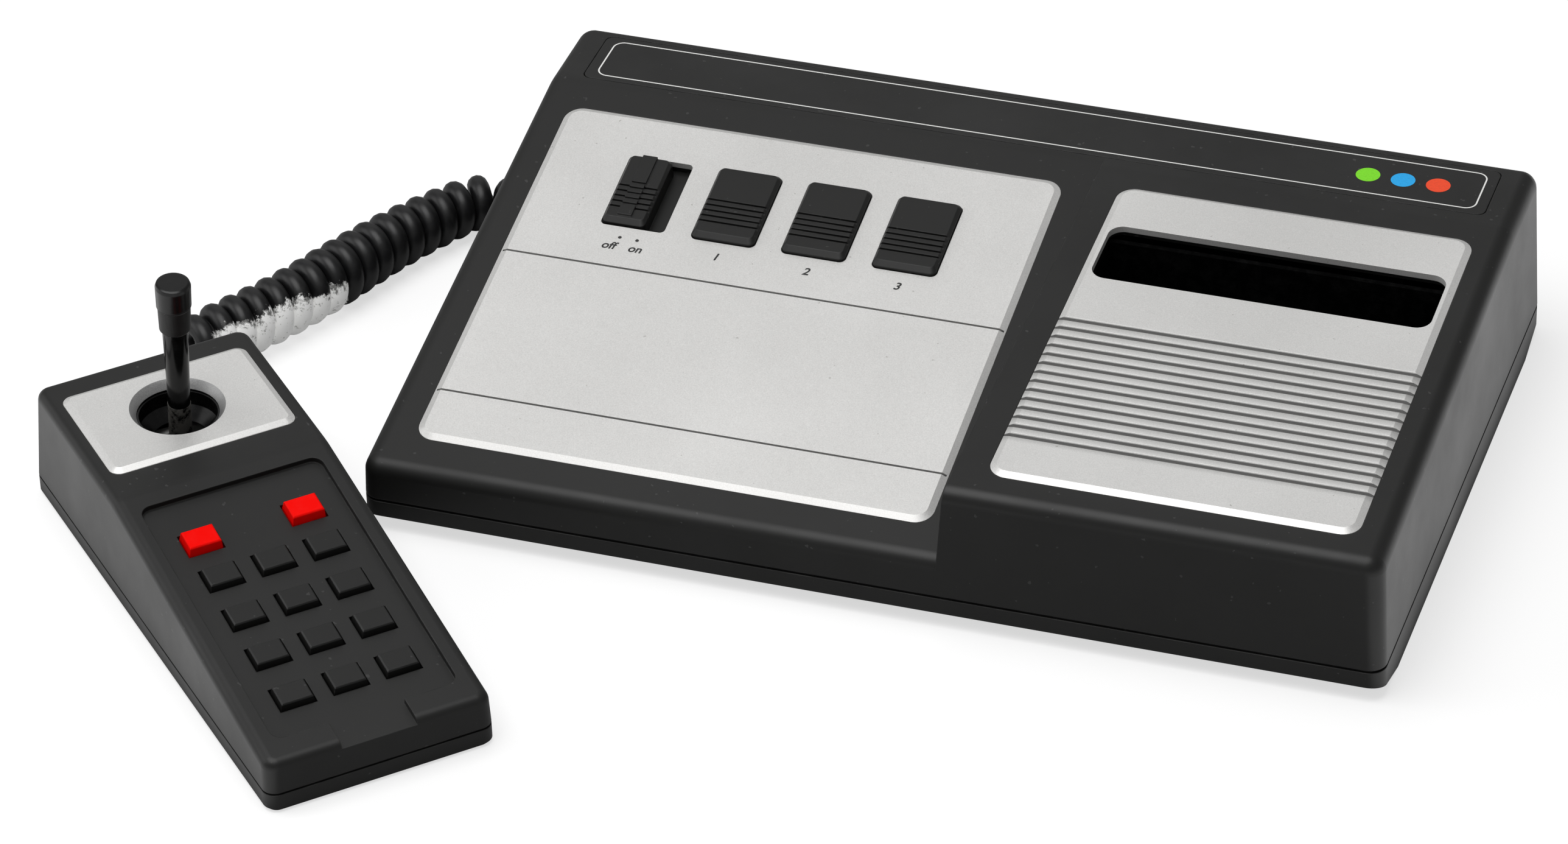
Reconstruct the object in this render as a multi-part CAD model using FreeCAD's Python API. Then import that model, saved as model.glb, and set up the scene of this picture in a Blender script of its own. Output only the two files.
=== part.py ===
import FreeCAD, Part
import math
import os
from FreeCAD import Placement, Rotation, Vector

# Console casing, millimetres. X runs to the right, Y to the rear, Z up, and the origin is the
# centre of the flat underside.
WIDTH = 300.0
DEPTH = 192.0
SEAM_Z = 10.9
WALL = 2.5
SIDE_DRAFT = 0.039
END_DRAFT = 0.025
CORNER_R = 5.0
EDGE_R = 4.8
HEADER_Z = 56.5
FRONT_Y = -DEPTH / 2
REAR_Y = DEPTH / 2
LEFT_Z = 22.4
LEFT_SLOPE = 0.2125
POD_Z = 46.2
POD_SLOPE = 0.0655
POD_X = 24.0
POD_DRAFT = 0.083
CREST_R = 18.0
SEAM_GROOVE = 0.9

# Silver panels: laid on the slopes, half sunk in a shallow recess
PANEL_T = 2.0
PANEL_SINK = 1.0
PANEL_BEVEL = 1.9
PANEL_CORNER_R = 5.5
PANEL_GAP = 0.08
LEFT_PANEL = (-137.9, 16.3, 13.2, 152.0)
RIGHT_PANEL = (33.3, 139.1, 11.4, 148.8)
SLOT = (36.2, 136.1, 104.2, 129.3)
SLOT_R = 4.5
RIB_COUNT = 14
RIB_PITCH = 4.186
RIB_LAST_T = 83.5
RIB_WIDTH = 1.9
RIB_DEPTH = 1.15
PANEL_GROOVES_T = (32.0, 89.7)
PANEL_GROOVE_W = 0.7
HEADER_PLATE = (-138.3, 138.3, 65.7, 89.4)
HEADER_PLATE_R = 2.5

# Console keys and power slide, on the left slope
KEY_X = (-74.8, -47.1, -19.4)
KEY_W = 19.3
KEY_T = (105.9, 134.9)
KEY_TOP = 2.9
KEY_GAP = 0.3
KNOB_X = (-112.2, -99.0)
KNOB_TRAVEL = 6.0
GRIP_COUNT = 5
GRIP_PITCH = 2.2
GRIP_W = 0.8
GRIP_DEPTH = 0.7

# Hand controller: local frame U across, V front to rear, turned and set down beside the console
HAND_W = 67.7
HAND_L = 174.0
HAND_SEAM_Z = 6.5
HAND_WALL = 2.2
HAND_TURN = 44.643
HAND_AT = Vector(-126.1, -227.6, 0)
HAND_FRONT_Z = 16.1
HAND_SLOPE = 0.175
HAND_CREST_V = 109.6
HAND_REAR_SLOPE = 0.0267
HAND_REAR_DRAFT = 0.126
HAND_CORNER_R = 4.0
HAND_EDGE_R = 3.0
HAND_TOP_WALL = 3.9
PAD = (6.4, 61.3, 9.0, 105.3)
PAD_DEPTH = 1.7
PAD_MOUTH = (22.6, 44.9)
PAD_KEY_U = (18.15, 33.85, 49.55)
PAD_KEY_V = (23.6, 40.3, 56.6, 73.0)
PAD_KEY_BASE = (10.4, 8.5)
PAD_KEY_FACE = (9.4, 7.2)
PAD_KEY_RISE = 1.8
FIRE_U = (18.2, 49.3)
FIRE_V = 88.0
FIRE_RISE = 2.4
STICK_PLATE = (5.5, 62.2, 10.4, 51.7)
STICK_U = 33.85
STICK_V = 141.5
STICK_HOLE_R = 11.6
STICK_SINK_R = 13.6
STICK_LEAN = 5.5
STICK_ROD_R = 3.35
STICK_CORE_R = 2.4
STICK_SLEEVE_Z = 39.5
STICK_CAP_Z = 66.7
STICK_TOP_Z = 83.3
CAP_BORE = 8.0
BOWL_R = 12.4
PIVOT_Z = 20.5
PIVOT_R = 1.5
PIVOT_PLAY = 0.05

# Curly cord between the controller and the console, and the line that its curls go round. The
# curls are wider at the controller, and narrow between two distances along that line.
WIRE_D = 6.0
WIRE_SIDES = 8
CURL_NEAR_R = 9.2
CURL_FAR_R = 7.1
CURL_TAPER = (50.0, 118.0)
CURL_TURNS = 18
CURL_PITCH = 6.7
CURL_TAIL = 25.0
CURL_EASE = 8.0
CURL_STEP = 0.12
CURL_STATION = math.pi
TAIL_STATION = 9.0
FLOOR_PLAY = 0.05
CORD_STRAIGHT = 6.0
GLAND_V = 3.0
GLAND_Y = 68.86
GLAND_PROUD = 2.0
GLAND_NECK_R = 4.0
GLAND_FLANGE_R = 5.6
CORD_ROUTE = [(-226.66, -69.70), (-229.68, -66.64), (-231.8, -60.5), (-231.2, -52.0), (-228.2, -44.5),
              (-224.0, -36.5), (-216.8, -24.5), (-209.2, -12.2), (-202.6, 1.0), (-196.6, 16.0),
              (-190.6, 30.5), (-184.7, 42.0), (-179.4, 51.0), (-174.6, 58.4), (-169.3, 64.0),
              (-163.7, 67.2), (-158.0, 67.2)]


os.makedirs("parts", exist_ok=True)


# Small shape builders
def prism(points, direction):
    closed = [Vector(*p) for p in points]
    return Part.Face(Part.makePolygon(closed + closed[:1])).extrude(direction)


def box(x0, x1, y0, y1, z0, z1):
    return Part.makeBox(x1 - x0, y1 - y0, z1 - z0, Vector(x0, y0, z0))


def rod(radius, start, end):
    axis = end - start
    return Part.makeCylinder(radius, axis.Length, start, axis)


def rounded_outline(x0, x1, y0, y1, r, z):
    """A closed wire: four straight sides joined by quarter circles."""
    edges = []
    corners = [(x1 - r, y0 + r, -90), (x1 - r, y1 - r, 0), (x0 + r, y1 - r, 90), (x0 + r, y0 + r, 180)]
    ends = []
    for cx, cy, start in corners:
        at = [Vector(cx + r * math.cos(math.radians(start + turn)),
                     cy + r * math.sin(math.radians(start + turn)), z) for turn in (0, 45, 90)]
        ends.append(at)
    for i, at in enumerate(ends):
        edges.append(Part.LineSegment(ends[i - 1][2], at[0]).toShape())
        edges.append(Part.Arc(*at).toShape())
    return Part.Wire(edges)


def rounded_block(x0, x1, y0, y1, r, z0, z1):
    return Part.Face(rounded_outline(x0, x1, y0, y1, r, z0)).extrude(Vector(0, 0, z1 - z0))


def tapered_block(low, r0, z0, high, r1, z1):
    wires = [rounded_outline(*low, r0, z0), rounded_outline(*high, r1, z1)]
    return Part.makeLoft(wires, True, True)


def frustum(low, z0, high, z1):
    """A block with flat sloping sides, from one rectangle to another."""
    block = Part.makeWedge(low[0], z0, -low[3], -high[3], high[0], low[1], z1, -low[2], -high[2], high[1])
    block.rotate(Vector(0, 0, 0), Vector(1, 0, 0), 90)
    return block


def upright_edges(solid, least_rise):
    return [e for e in solid.Edges
            if abs(e.Vertexes[0].Point.z - e.Vertexes[-1].Point.z) > least_rise]


def turned(profile, centre):
    """A solid of revolution about the upright line through centre, from (radius, height) points."""
    points = [Vector(r, 0, z) for r, z in profile]
    face = Part.Face(Part.makePolygon(points + points[:1]))
    solid = face.revolve(Vector(0, 0, 0), Vector(0, 0, 1), 360)
    solid.translate(centre)
    return solid


def joined(first, *others):
    return first.multiFuse(list(others)).removeSplitter()


def side_profile(front, slope, crest, rear_slope, end, floor_z, crest_r):
    """The side view of a wedge: a slope up to a crest, eased by an arc, then the rear top."""
    a0 = math.atan(slope)
    a1 = math.atan(rear_slope)
    length = crest_r * math.tan((a0 - a1) / 2)
    up = Vector(0, math.cos(a0), math.sin(a0))
    on = Vector(0, math.cos(a1), math.sin(a1))
    start = crest - up * length
    stop = crest + on * length
    centre = start + Vector(0, math.sin(a0), -math.cos(a0)) * crest_r
    half = (a0 + a1) / 2
    middle = centre + Vector(0, -math.sin(half), math.cos(half)) * crest_r
    first = crest + up * ((front - crest.y) / math.cos(a0))
    last = crest + on * ((end - crest.y) / math.cos(a1))
    low_last = Vector(0, end, floor_z)
    low_first = Vector(0, front, floor_z)
    return Part.Face(Part.Wire([
        Part.LineSegment(low_first, first).toShape(),
        Part.LineSegment(first, start).toShape(),
        Part.Arc(start, middle, stop).toShape(),
        Part.LineSegment(stop, last).toShape(),
        Part.LineSegment(last, low_last).toShape(),
        Part.LineSegment(low_last, low_first).toShape(),
    ]))


# Frames of the sloping faces: their own X, distance up the slope and height off the face
LEFT_ANGLE = math.degrees(math.atan(LEFT_SLOPE))
POD_ANGLE = math.degrees(math.atan(POD_SLOPE))
PAD_ANGLE = math.degrees(math.atan(HAND_SLOPE))
STICK_ANGLE = math.degrees(math.atan(HAND_REAR_SLOPE))
HAND_CREST_Z = HAND_FRONT_Z + HAND_SLOPE * HAND_CREST_V
HAND_PLACE = Placement(HAND_AT, Rotation(Vector(0, 0, 1), HAND_TURN))


def on_left(shape):
    return shape.transformed(Placement(Vector(0, FRONT_Y, LEFT_Z),
                                       Rotation(Vector(1, 0, 0), LEFT_ANGLE)).toMatrix())


def on_pod(shape):
    return shape.transformed(Placement(Vector(0, FRONT_Y, POD_Z),
                                       Rotation(Vector(1, 0, 0), POD_ANGLE)).toMatrix())


def on_pad(shape):
    return shape.transformed(Placement(Vector(0, 0, HAND_FRONT_Z),
                                       Rotation(Vector(1, 0, 0), PAD_ANGLE)).toMatrix())


def on_stick_face(shape):
    return shape.transformed(Placement(Vector(0, HAND_CREST_V, HAND_CREST_Z),
                                       Rotation(Vector(1, 0, 0), STICK_ANGLE)).toMatrix())


def in_hand(shape):
    return shape.transformed(HAND_PLACE.toMatrix())


def leaned(shape):
    """Turns the upright stick about the U axis through its pivot, to its lean at rest."""
    result = shape.copy()
    result.rotate(Vector(STICK_U, STICK_V, PIVOT_Z), Vector(1, 0, 0), STICK_LEAN)
    return result


def save(name, shape):
    solids = shape.Solids
    kept = solids[0] if len(solids) == 1 else Part.makeCompound(solids)
    kept.exportStep("parts/" + name + ".step")
    print(name, len(solids), "solids", round(kept.Volume), "mm3", "ok" if kept.isValid() else "NOT VALID")


# Console casing
def casing_block(inset, low_z):
    top_z = HEADER_Z + 12
    sizes = []
    for z in (low_z, top_z):
        x = WIDTH / 2 - inset - SIDE_DRAFT * (z - SEAM_Z)
        y = DEPTH / 2 - inset - END_DRAFT * (z - SEAM_Z)
        sizes.append((-x, x, -y, y))
    block = frustum(sizes[0], low_z, sizes[1], top_z)
    return block.makeFillet(max(CORNER_R - inset, 1.0), upright_edges(block, 30))


def wedge(z_front, slope, drop, low_z, x0, x1):
    drop_z = drop / math.cos(math.atan(slope))
    crest_y = FRONT_Y + (HEADER_Z - drop - z_front + drop_z) / slope
    crest = Vector(0, crest_y, HEADER_Z - drop)
    face = side_profile(FRONT_Y - 10, slope, crest, 0, REAR_Y + 10, low_z, CREST_R)
    face.translate(Vector(x0, 0, 0))
    return face.extrude(Vector(x1 - x0, 0, 0))


def casing_form(inset, low_z):
    """The stepped outer form of the upper casing, or the space inside it."""
    block = casing_block(inset, low_z)
    left = wedge(LEFT_Z, LEFT_SLOPE, inset, low_z, -WIDTH, WIDTH)
    pod = wedge(POD_Z, POD_SLOPE, inset, low_z, 0, WIDTH)
    top_z = HEADER_Z + 12
    step = []
    for z in (low_z, top_z):
        step.append(POD_X + inset - POD_DRAFT * (POD_Z - z))
    sides = prism([(step[0], -DEPTH, low_z), (WIDTH, -DEPTH, low_z), (WIDTH, -DEPTH, top_z),
                   (step[1], -DEPTH, top_z)], Vector(0, 2 * DEPTH, 0))
    return joined(block.common(left), block.common(pod).common(sides))


def rim_edges(form):
    """The edges where the outer walls meet the top, apart from the step beside the pod."""
    found = []
    for edge in form.Edges:
        middle = edge.valueAt((edge.FirstParameter + edge.LastParameter) / 2)
        outer = abs(middle.x) > WIDTH / 2 - 8 or abs(middle.y) > DEPTH / 2 - 8
        zone_z, slope = (POD_Z, POD_SLOPE) if middle.x > POD_X - 1 else (LEFT_Z, LEFT_SLOPE)
        top = min(HEADER_Z, zone_z + slope * (middle.y - FRONT_Y))
        flat = abs(edge.Vertexes[0].Point.z - edge.Vertexes[-1].Point.z) < 0.9 * edge.Length
        if outer and flat and abs(middle.z - top) < 0.6:
            found.append(edge)
    return found


BOSSES = [(-136.0, -82.0), (136.0, -82.0), (-136.0, 82.0), (136.0, 82.0)]
BOSS_R = 4.0
BOSS_FOOT_Z = 5.6
SCREW_R = 1.45
SCREW_HEAD_R = 3.2
SCREW_HEAD_T = 1.9
SCREW_SEAT_Z = 2.8
SCREW_TOP_Z = 15.0
LIP_PLAY = 0.35
LIP_T = 1.2
LIP_ROOT = 3.0
LIP_RISE = 1.6
TRAY_RISE = 5.0
TRAY_RUN = 18.4


def key_hole(x, gap):
    return rounded_block(x - KEY_W / 2 - gap, x + KEY_W / 2 + gap, KEY_T[0] - gap, KEY_T[1] + gap,
                         2.0, -8, 5)


def knob_hole(gap):
    return rounded_block(KNOB_X[0] - 0.4 - gap, KNOB_X[1] + 0.2 + KNOB_TRAVEL + gap,
                         KEY_T[0] - gap, KEY_T[1] + gap, 1.6, -8, 5)


def upper_casing():
    outer = casing_form(0, SEAM_Z)
    outer = outer.makeFillet(EDGE_R, rim_edges(outer))
    shell = outer.cut(casing_form(WALL, SEAM_Z - 2))
    posts = [rod(BOSS_R, Vector(x, y, BOSS_FOOT_Z), Vector(x, y, HEADER_Z)) for x, y in BOSSES]
    room = casing_form(WALL - 0.5, 4.0)
    shell = joined(shell, *[p.common(room) for p in posts])
    x0, x1, t0, t1 = LEFT_PANEL
    cuts = [on_left(rounded_block(x0 - PANEL_GAP, x1 + PANEL_GAP, t0 - PANEL_GAP, t1 + PANEL_GAP,
                                  PANEL_CORNER_R, -PANEL_SINK, 4))]
    cuts += [on_left(key_hole(x, KEY_GAP + 0.3)) for x in KEY_X]
    cuts.append(on_left(knob_hole(0.3)))
    x0, x1, t0, t1 = RIGHT_PANEL
    cuts.append(on_pod(rounded_block(x0 - PANEL_GAP, x1 + PANEL_GAP, t0 - PANEL_GAP, t1 + PANEL_GAP,
                                     PANEL_CORNER_R, -PANEL_SINK, 4)))
    x0, x1, t0, t1 = SLOT
    cuts.append(on_pod(rounded_block(x0 - 0.5, x1 + 0.5, t0 - 0.5, t1 + 0.5, SLOT_R, -8, 4)))
    x0, x1, y0, y1 = HEADER_PLATE
    cuts.append(rounded_block(x0 - 0.25, x1 + 0.25, y0 - 0.25, y1 + 0.25, HEADER_PLATE_R,
                              HEADER_Z - PANEL_SINK, HEADER_Z + 4))
    cuts += [rod(SCREW_R, Vector(x, y, 0), Vector(x, y, SCREW_TOP_Z + 1)) for x, y in BOSSES]
    cuts += [rod(GLAND_NECK_R, Vector(-WIDTH / 2 - 5, GLAND_Y, SEAM_Z),
                 Vector(-WIDTH / 2 + 8, GLAND_Y, SEAM_Z))]
    cuts += [box(x - w / 2, x + w / 2, REAR_Y - 8, REAR_Y + 5, z - h / 2, z + h / 2)
             for x, z, w, h in REAR_SOCKETS]
    for cut in cuts:
        shell = shell.cut(cut)
    return shell


# Rear sockets: centre X, centre Z, width and height of each opening
REAR_SOCKETS = [(-60.0, 28.0, 14.0, 14.0), (60.0, 26.0, 12.0, 12.0)]


def tray_form(inset, low_z):
    """The lower tray: upright sides, with the underside sloping up to the front and rear edges."""
    top = SEAM_Z + 2 * inset
    y = DEPTH / 2 - inset
    x = WIDTH / 2 - inset
    block = box(-x, x, -y, y, 0, top)
    block = block.makeFillet(CORNER_R - inset, upright_edges(block, 5))
    edge_z = TRAY_RISE + low_z
    flat_y = DEPTH / 2 - TRAY_RUN
    side = prism([(-x, -y, edge_z), (-x, -y, top), (-x, y, top), (-x, y, edge_z), (-x, flat_y, low_z),
                  (-x, -flat_y, low_z)], Vector(2 * x, 0, 0))
    return block.common(side)


def lower_tray():
    tray = tray_form(0, 0).cut(tray_form(WALL, WALL))
    rim = box(-WIDTH, WIDTH, -DEPTH, DEPTH, SEAM_Z - SEAM_GROOVE, SEAM_Z)
    core = tray_form(SEAM_GROOVE, 0)
    tray = tray.cut(rim.cut(core))
    x, y = WIDTH / 2 - WALL - LIP_PLAY, DEPTH / 2 - WALL - LIP_PLAY
    lip = rounded_block(-x, x, -y, y, 2.2, SEAM_Z - LIP_ROOT, SEAM_Z + LIP_RISE)
    ledge = box(-x - 1, x + 1, -y - 1, y + 1, SEAM_Z - LIP_ROOT, SEAM_Z - 1)
    room = box(-x + LIP_T, x - LIP_T, -y + LIP_T, y - LIP_T, 0, SEAM_Z + 2)
    pillars = [rod(3.0, Vector(bx, by, 1), Vector(bx, by, BOARD_Z)) for bx, by in BOARD_POSTS]
    seats = [rod(5.5, Vector(bx, by, 1), Vector(bx, by, BOSS_FOOT_Z)) for bx, by in BOSSES]
    tray = joined(tray, lip.cut(room), ledge.cut(room), *pillars, *seats)
    cuts = [rod(SCREW_R + 0.25, Vector(bx, by, -1), Vector(bx, by, 7)) for bx, by in BOSSES]
    cuts += [rod(SCREW_HEAD_R + 0.2, Vector(bx, by, -1), Vector(bx, by, SCREW_SEAT_Z)) for bx, by in BOSSES]
    cuts.append(rod(GLAND_NECK_R, Vector(-WIDTH / 2 - 5, GLAND_Y, SEAM_Z),
                    Vector(-WIDTH / 2 + 8, GLAND_Y, SEAM_Z)))
    for cut in cuts:
        tray = tray.cut(cut)
    return tray


# Silver panels and the header plate
def silver_panel(area, bevel):
    x0, x1, t0, t1 = area
    rise = PANEL_T - PANEL_SINK
    foot = rounded_block(x0, x1, t0, t1, PANEL_CORNER_R, -PANEL_SINK, 0)
    inner = (x0 + bevel, x1 - bevel, t0 + bevel, t1 - bevel)
    top = tapered_block(area, PANEL_CORNER_R, 0, inner, PANEL_CORNER_R - bevel, rise)
    return joined(foot, top)


def vee(x0, x1, t, width, depth, z):
    return prism([(x0, t - width / 2, z), (x0, t, z - depth), (x0, t + width / 2, z)],
                 Vector(x1 - x0, 0, 0))


def control_panel():
    panel = silver_panel(LEFT_PANEL, PANEL_BEVEL)
    for x in KEY_X:
        panel = panel.cut(key_hole(x, KEY_GAP))
    panel = panel.cut(knob_hole(0))
    for t in PANEL_GROOVES_T:
        x0, x1 = LEFT_PANEL[0] - 1, LEFT_PANEL[1] + 1
        panel = panel.cut(box(x0, x1, t - PANEL_GROOVE_W / 2, t + PANEL_GROOVE_W / 2, 0.2, 3))
    return on_left(panel)


def cartridge_panel():
    panel = silver_panel(RIGHT_PANEL, PANEL_BEVEL)
    x0, x1, t0, t1 = SLOT
    panel = panel.cut(rounded_block(x0, x1, t0, t1, SLOT_R, -5, 5))
    rise = PANEL_T - PANEL_SINK
    for i in range(RIB_COUNT):
        t = RIB_LAST_T - RIB_PITCH * i
        panel = panel.cut(vee(RIGHT_PANEL[0] - 1, RIGHT_PANEL[1] + 1, t, RIB_WIDTH, RIB_DEPTH,
                              rise + 0.001))
    return on_pod(panel)


def header_plate():
    x0, x1, y0, y1 = HEADER_PLATE
    return rounded_block(x0, x1, y0, y1, HEADER_PLATE_R, HEADER_Z - PANEL_SINK, HEADER_Z)


# Console keys, power slide and their switches
def grips(x0, x1, t_first, top, reach):
    cuts = []
    for i in range(GRIP_COUNT):
        t = t_first - GRIP_PITCH * i
        cuts.append(box(x0 - reach, x1 + reach, t - GRIP_W / 2, t + GRIP_W / 2, top - GRIP_DEPTH, top + 2))
    return cuts


def capped_block(area, r, low, top, side, front):
    """A key cap: straight sides, then bevels all round, with a longer one at the front."""
    x0, x1, t0, t1 = area
    face = (x0 + side, x1 - side, t0 + front, t1 - side)
    shoulder = top - 1.1
    body = rounded_block(x0, x1, t0, t1, r, low, shoulder)
    return joined(body, tapered_block(area, r, shoulder, face, r - side + 0.3, top))


def console_key(x):
    area = (x - KEY_W / 2, x + KEY_W / 2, KEY_T[0], KEY_T[1])
    cap = capped_block(area, 1.9, -3.2, KEY_TOP, 0.9, 1.7)
    for cut in grips(area[0], area[1], KEY_T[1] - 14.2, KEY_TOP, 1):
        cap = cap.cut(cut)
    middle = (KEY_T[0] + KEY_T[1]) / 2
    flange = rounded_block(x - 8.2, x + 8.2, KEY_T[0] - 2.2, KEY_T[1] + 2.2, 1.5, -4.2, -2.85)
    stem = rod(3.0, Vector(x, middle, -8.5), Vector(x, middle, -4.0))
    return on_left(joined(cap, flange, stem))


def power_slide_knob():
    """Three lengthwise strips with cross grips, the middle one raised and out of step."""
    x0, x1 = KNOB_X
    t0, t1 = KEY_T[0] + 0.6, KEY_T[1] - 0.6
    body = capped_block((x0, x1, t0, t1), 1.6, -3.2, 2.7, 0.8, 1.7)
    for cut in grips(x0, x1, t1 - 13.2, 2.7, 1):
        body = body.cut(cut)
    third = (x1 - x0) / 3
    strip = prism([(x0 + third - 0.2, t0 + 1.2, 1.0), (x0 + third - 0.2, t0 + 2.6, 3.25),
                   (x0 + third - 0.2, t1 - 0.5, 3.25), (x0 + third - 0.2, t1 - 0.2, 1.0)],
                  Vector(third, 0, 0))
    for cut in grips(x0 + third, x1 - third, t1 - 12.0, 3.25, 0.5):
        strip = strip.cut(cut)
    plate = rounded_block(x0 - 7.6, x1 + 7.4, KEY_T[0] - 2.4, KEY_T[1] + 2.4, 1.5, -4.2, -2.85)
    fork = box(-107.4, -103.8, 118.0, 123.0, -9.5, -4.0)
    return on_left(joined(body, strip, plate, fork))


SWITCH_BOARD_TOP = -13.0


def switch_board():
    board = box(-124.0, -6.0, 98.0, 142.0, SWITCH_BOARD_TOP - 1.6, SWITCH_BOARD_TOP)
    return on_left(board)


def key_switches():
    """One square switch under each key, with a well for the key's stem."""
    middle = (KEY_T[0] + KEY_T[1]) / 2
    made = []
    for x in KEY_X:
        case = box(x - 6, x + 6, middle - 6, middle + 6, SWITCH_BOARD_TOP, -7.0)
        well = box(x - 3.3, x + 3.3, middle - 3.3, middle + 3.3, -7.0 - 4.2, 0)
        made.append(case.cut(well))
    return on_left(Part.makeCompound(made))


def power_switch():
    case = box(-115.0, -96.0, 114.0, 127.0, SWITCH_BOARD_TOP, -6.5)
    slot = box(-107.7, -97.0, 117.6, 123.4, -10.0, 0)
    return on_left(case.cut(slot))


def board_pillars():
    """Four pillars that hold the switch board under the left slope."""
    spots = [(-121.0, 100.2), (-121.0, 140.0), (-9.0, 100.2), (-9.0, 140.0)]
    return on_left(Part.makeCompound([rod(1.8, Vector(x, t, SWITCH_BOARD_TOP), Vector(x, t, -WALL))
                                      for x, t in spots]))


# Cartridge well, connector and boards
BOARD_Z = 8.0
BOARD_POSTS = [(-110.0, -60.0), (110.0, -60.0), (-110.0, 66.0), (110.0, 66.0)]
BOARD_T = 1.6
WELL_WALL = 1.6
WELL_BOTTOM_Z = 22.0


def cartridge_guide():
    """An open-ended sleeve under the slot, which guides a cartridge down to its connector."""
    x0, x1, t0, t1 = SLOT
    y0 = FRONT_Y + t0 * math.cos(math.radians(POD_ANGLE))
    y1 = FRONT_Y + t1 * math.cos(math.radians(POD_ANGLE)) - 3.4
    x0, x1 = x0 + 0.2, x1 - 0.2
    outer = rounded_block(x0 - WELL_WALL, x1 + WELL_WALL, y0 - WELL_WALL, y1 + WELL_WALL, 3.0,
                          WELL_BOTTOM_Z, 60)
    inner = rounded_block(x0, x1, y0, y1, 1.4, WELL_BOTTOM_Z + 2, 62)
    sleeve = outer.cut(inner).cut(box(x0 + 12, x1 - 12, y0 + 5, y1 - 5, 0, 60))
    ceiling = on_pod(box(0, WIDTH, 0, DEPTH, -40, -WALL - 0.05))
    return sleeve.common(ceiling)


def cartridge_connector():
    middle_x = (SLOT[0] + SLOT[1]) / 2
    y = FRONT_Y + (SLOT[2] + SLOT[3]) / 2 - 1.9
    body = box(middle_x - 36, middle_x + 36, y - 4.5, y + 4.5, BOARD_Z + BOARD_T, WELL_BOTTOM_Z + 6)
    gap = box(middle_x - 33, middle_x + 33, y - 1.1, y + 1.1, WELL_BOTTOM_Z - 6, WELL_BOTTOM_Z + 9)
    return body.cut(gap)


def main_board():
    board = box(-120.0, 124.0, -68.0, 76.0, BOARD_Z, BOARD_Z + BOARD_T)
    return board


def board_chips():
    spots = [(-30, 10, 52, 15), (-30, -20, 36, 15), (-30, -45, 52, 15), (60, -50, 52, 15),
             (-90, -40, 20, 8), (-90, -25, 20, 8), (10, 40, 20, 8), (-90, -10, 20, 8)]
    return Part.makeCompound([box(x - w / 2, x + w / 2, y - d / 2, y + d / 2, BOARD_Z + BOARD_T,
                                  BOARD_Z + BOARD_T + 4) for x, y, w, d in spots])


def capacitors():
    spots = [(100, -30, 6.5, 22), (84, -20, 5, 16), (104, -12, 4, 12), (-60, 50, 4, 12)]
    low = BOARD_Z + BOARD_T
    return Part.makeCompound([rod(r, Vector(x, y, low), Vector(x, y, low + h)) for x, y, r, h in spots])


def heat_sink():
    low = BOARD_Z + BOARD_T
    fins = [box(98 + 4 * i, 99.5 + 4 * i, 48, 70, low + 3, low + 20) for i in range(5)]
    return joined(box(98, 115.5, 56, 58, low, low + 20), *fins)


def rf_modulator():
    """A tin box on the board, with its aerial socket through the rear wall."""
    x, z = REAR_SOCKETS[0][:2]
    case = box(x - 24, x + 24, 60, 60 + 18, BOARD_Z + BOARD_T, z + 9)
    socket = rod(4.6, Vector(x, 60 + 17, z), Vector(x, REAR_Y - 1.2, z))
    bore = rod(1.6, Vector(x, REAR_Y - 11, z), Vector(x, REAR_Y + 1, z))
    return joined(case, socket).cut(bore)


def power_socket():
    x, z = REAR_SOCKETS[1][:2]
    body = box(x - 5.8, x + 5.8, REAR_Y - 15, REAR_Y - 1.0, z - 5.8, z + 5.8)
    hole = rod(3.0, Vector(x, REAR_Y - 10, z), Vector(x, REAR_Y + 1, z))
    pin = rod(1.0, Vector(x, REAR_Y - 11, z), Vector(x, REAR_Y - 2.0, z))
    leg = box(x - 4, x + 4, REAR_Y - 22, REAR_Y - 15, BOARD_Z + BOARD_T, z + 2)
    return joined(body.cut(hole), pin, leg)


def screw_group(spots, head_r, shank_r, head_z, shank_top):
    made = []
    for x, y in spots:
        head = rod(head_r, Vector(x, y, head_z), Vector(x, y, head_z + SCREW_HEAD_T))
        shank = rod(shank_r, Vector(x, y, head_z + SCREW_HEAD_T / 2), Vector(x, y, shank_top))
        made.append(joined(head, shank))
    return Part.makeCompound(made)


# Hand controller shells, in their own U, V frame
def hand_block(inset, low_z):
    top_z = 60.0
    sizes = []
    for z in (low_z, top_z):
        side = inset + SIDE_DRAFT * (z - HAND_SEAM_Z)
        rear = inset + HAND_REAR_DRAFT * (z - HAND_SEAM_Z)
        sizes.append((side, HAND_W - side, side, HAND_L - rear))
    block = frustum(sizes[0], low_z, sizes[1], top_z)
    return block.makeFillet(max(HAND_CORNER_R - inset, 1.0), upright_edges(block, 30))


def hand_form(inset, drop, low_z):
    block = hand_block(inset, low_z)
    crest = Vector(0, HAND_CREST_V, HAND_CREST_Z - drop)
    face = side_profile(-10, HAND_SLOPE, crest, HAND_REAR_SLOPE, HAND_L + 10, low_z, CREST_R)
    face.translate(Vector(-5, 0, 0))
    return block.common(face.extrude(Vector(HAND_W + 10, 0, 0)))


def hand_rim_edges(form):
    found = []
    for edge in form.Edges:
        middle = edge.valueAt((edge.FirstParameter + edge.LastParameter) / 2)
        outer = min(middle.x, HAND_W - middle.x) < 4 or min(middle.y, HAND_L - middle.y) < 7
        slope_z = HAND_FRONT_Z + HAND_SLOPE * middle.y
        rear_z = HAND_CREST_Z + HAND_REAR_SLOPE * (middle.y - HAND_CREST_V)
        upright = abs(edge.Vertexes[0].Point.z - edge.Vertexes[-1].Point.z) > 0.9 * edge.Length
        if outer and not upright and abs(middle.z - min(slope_z, rear_z)) < 0.6:
            found.append(edge)
    return found


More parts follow.
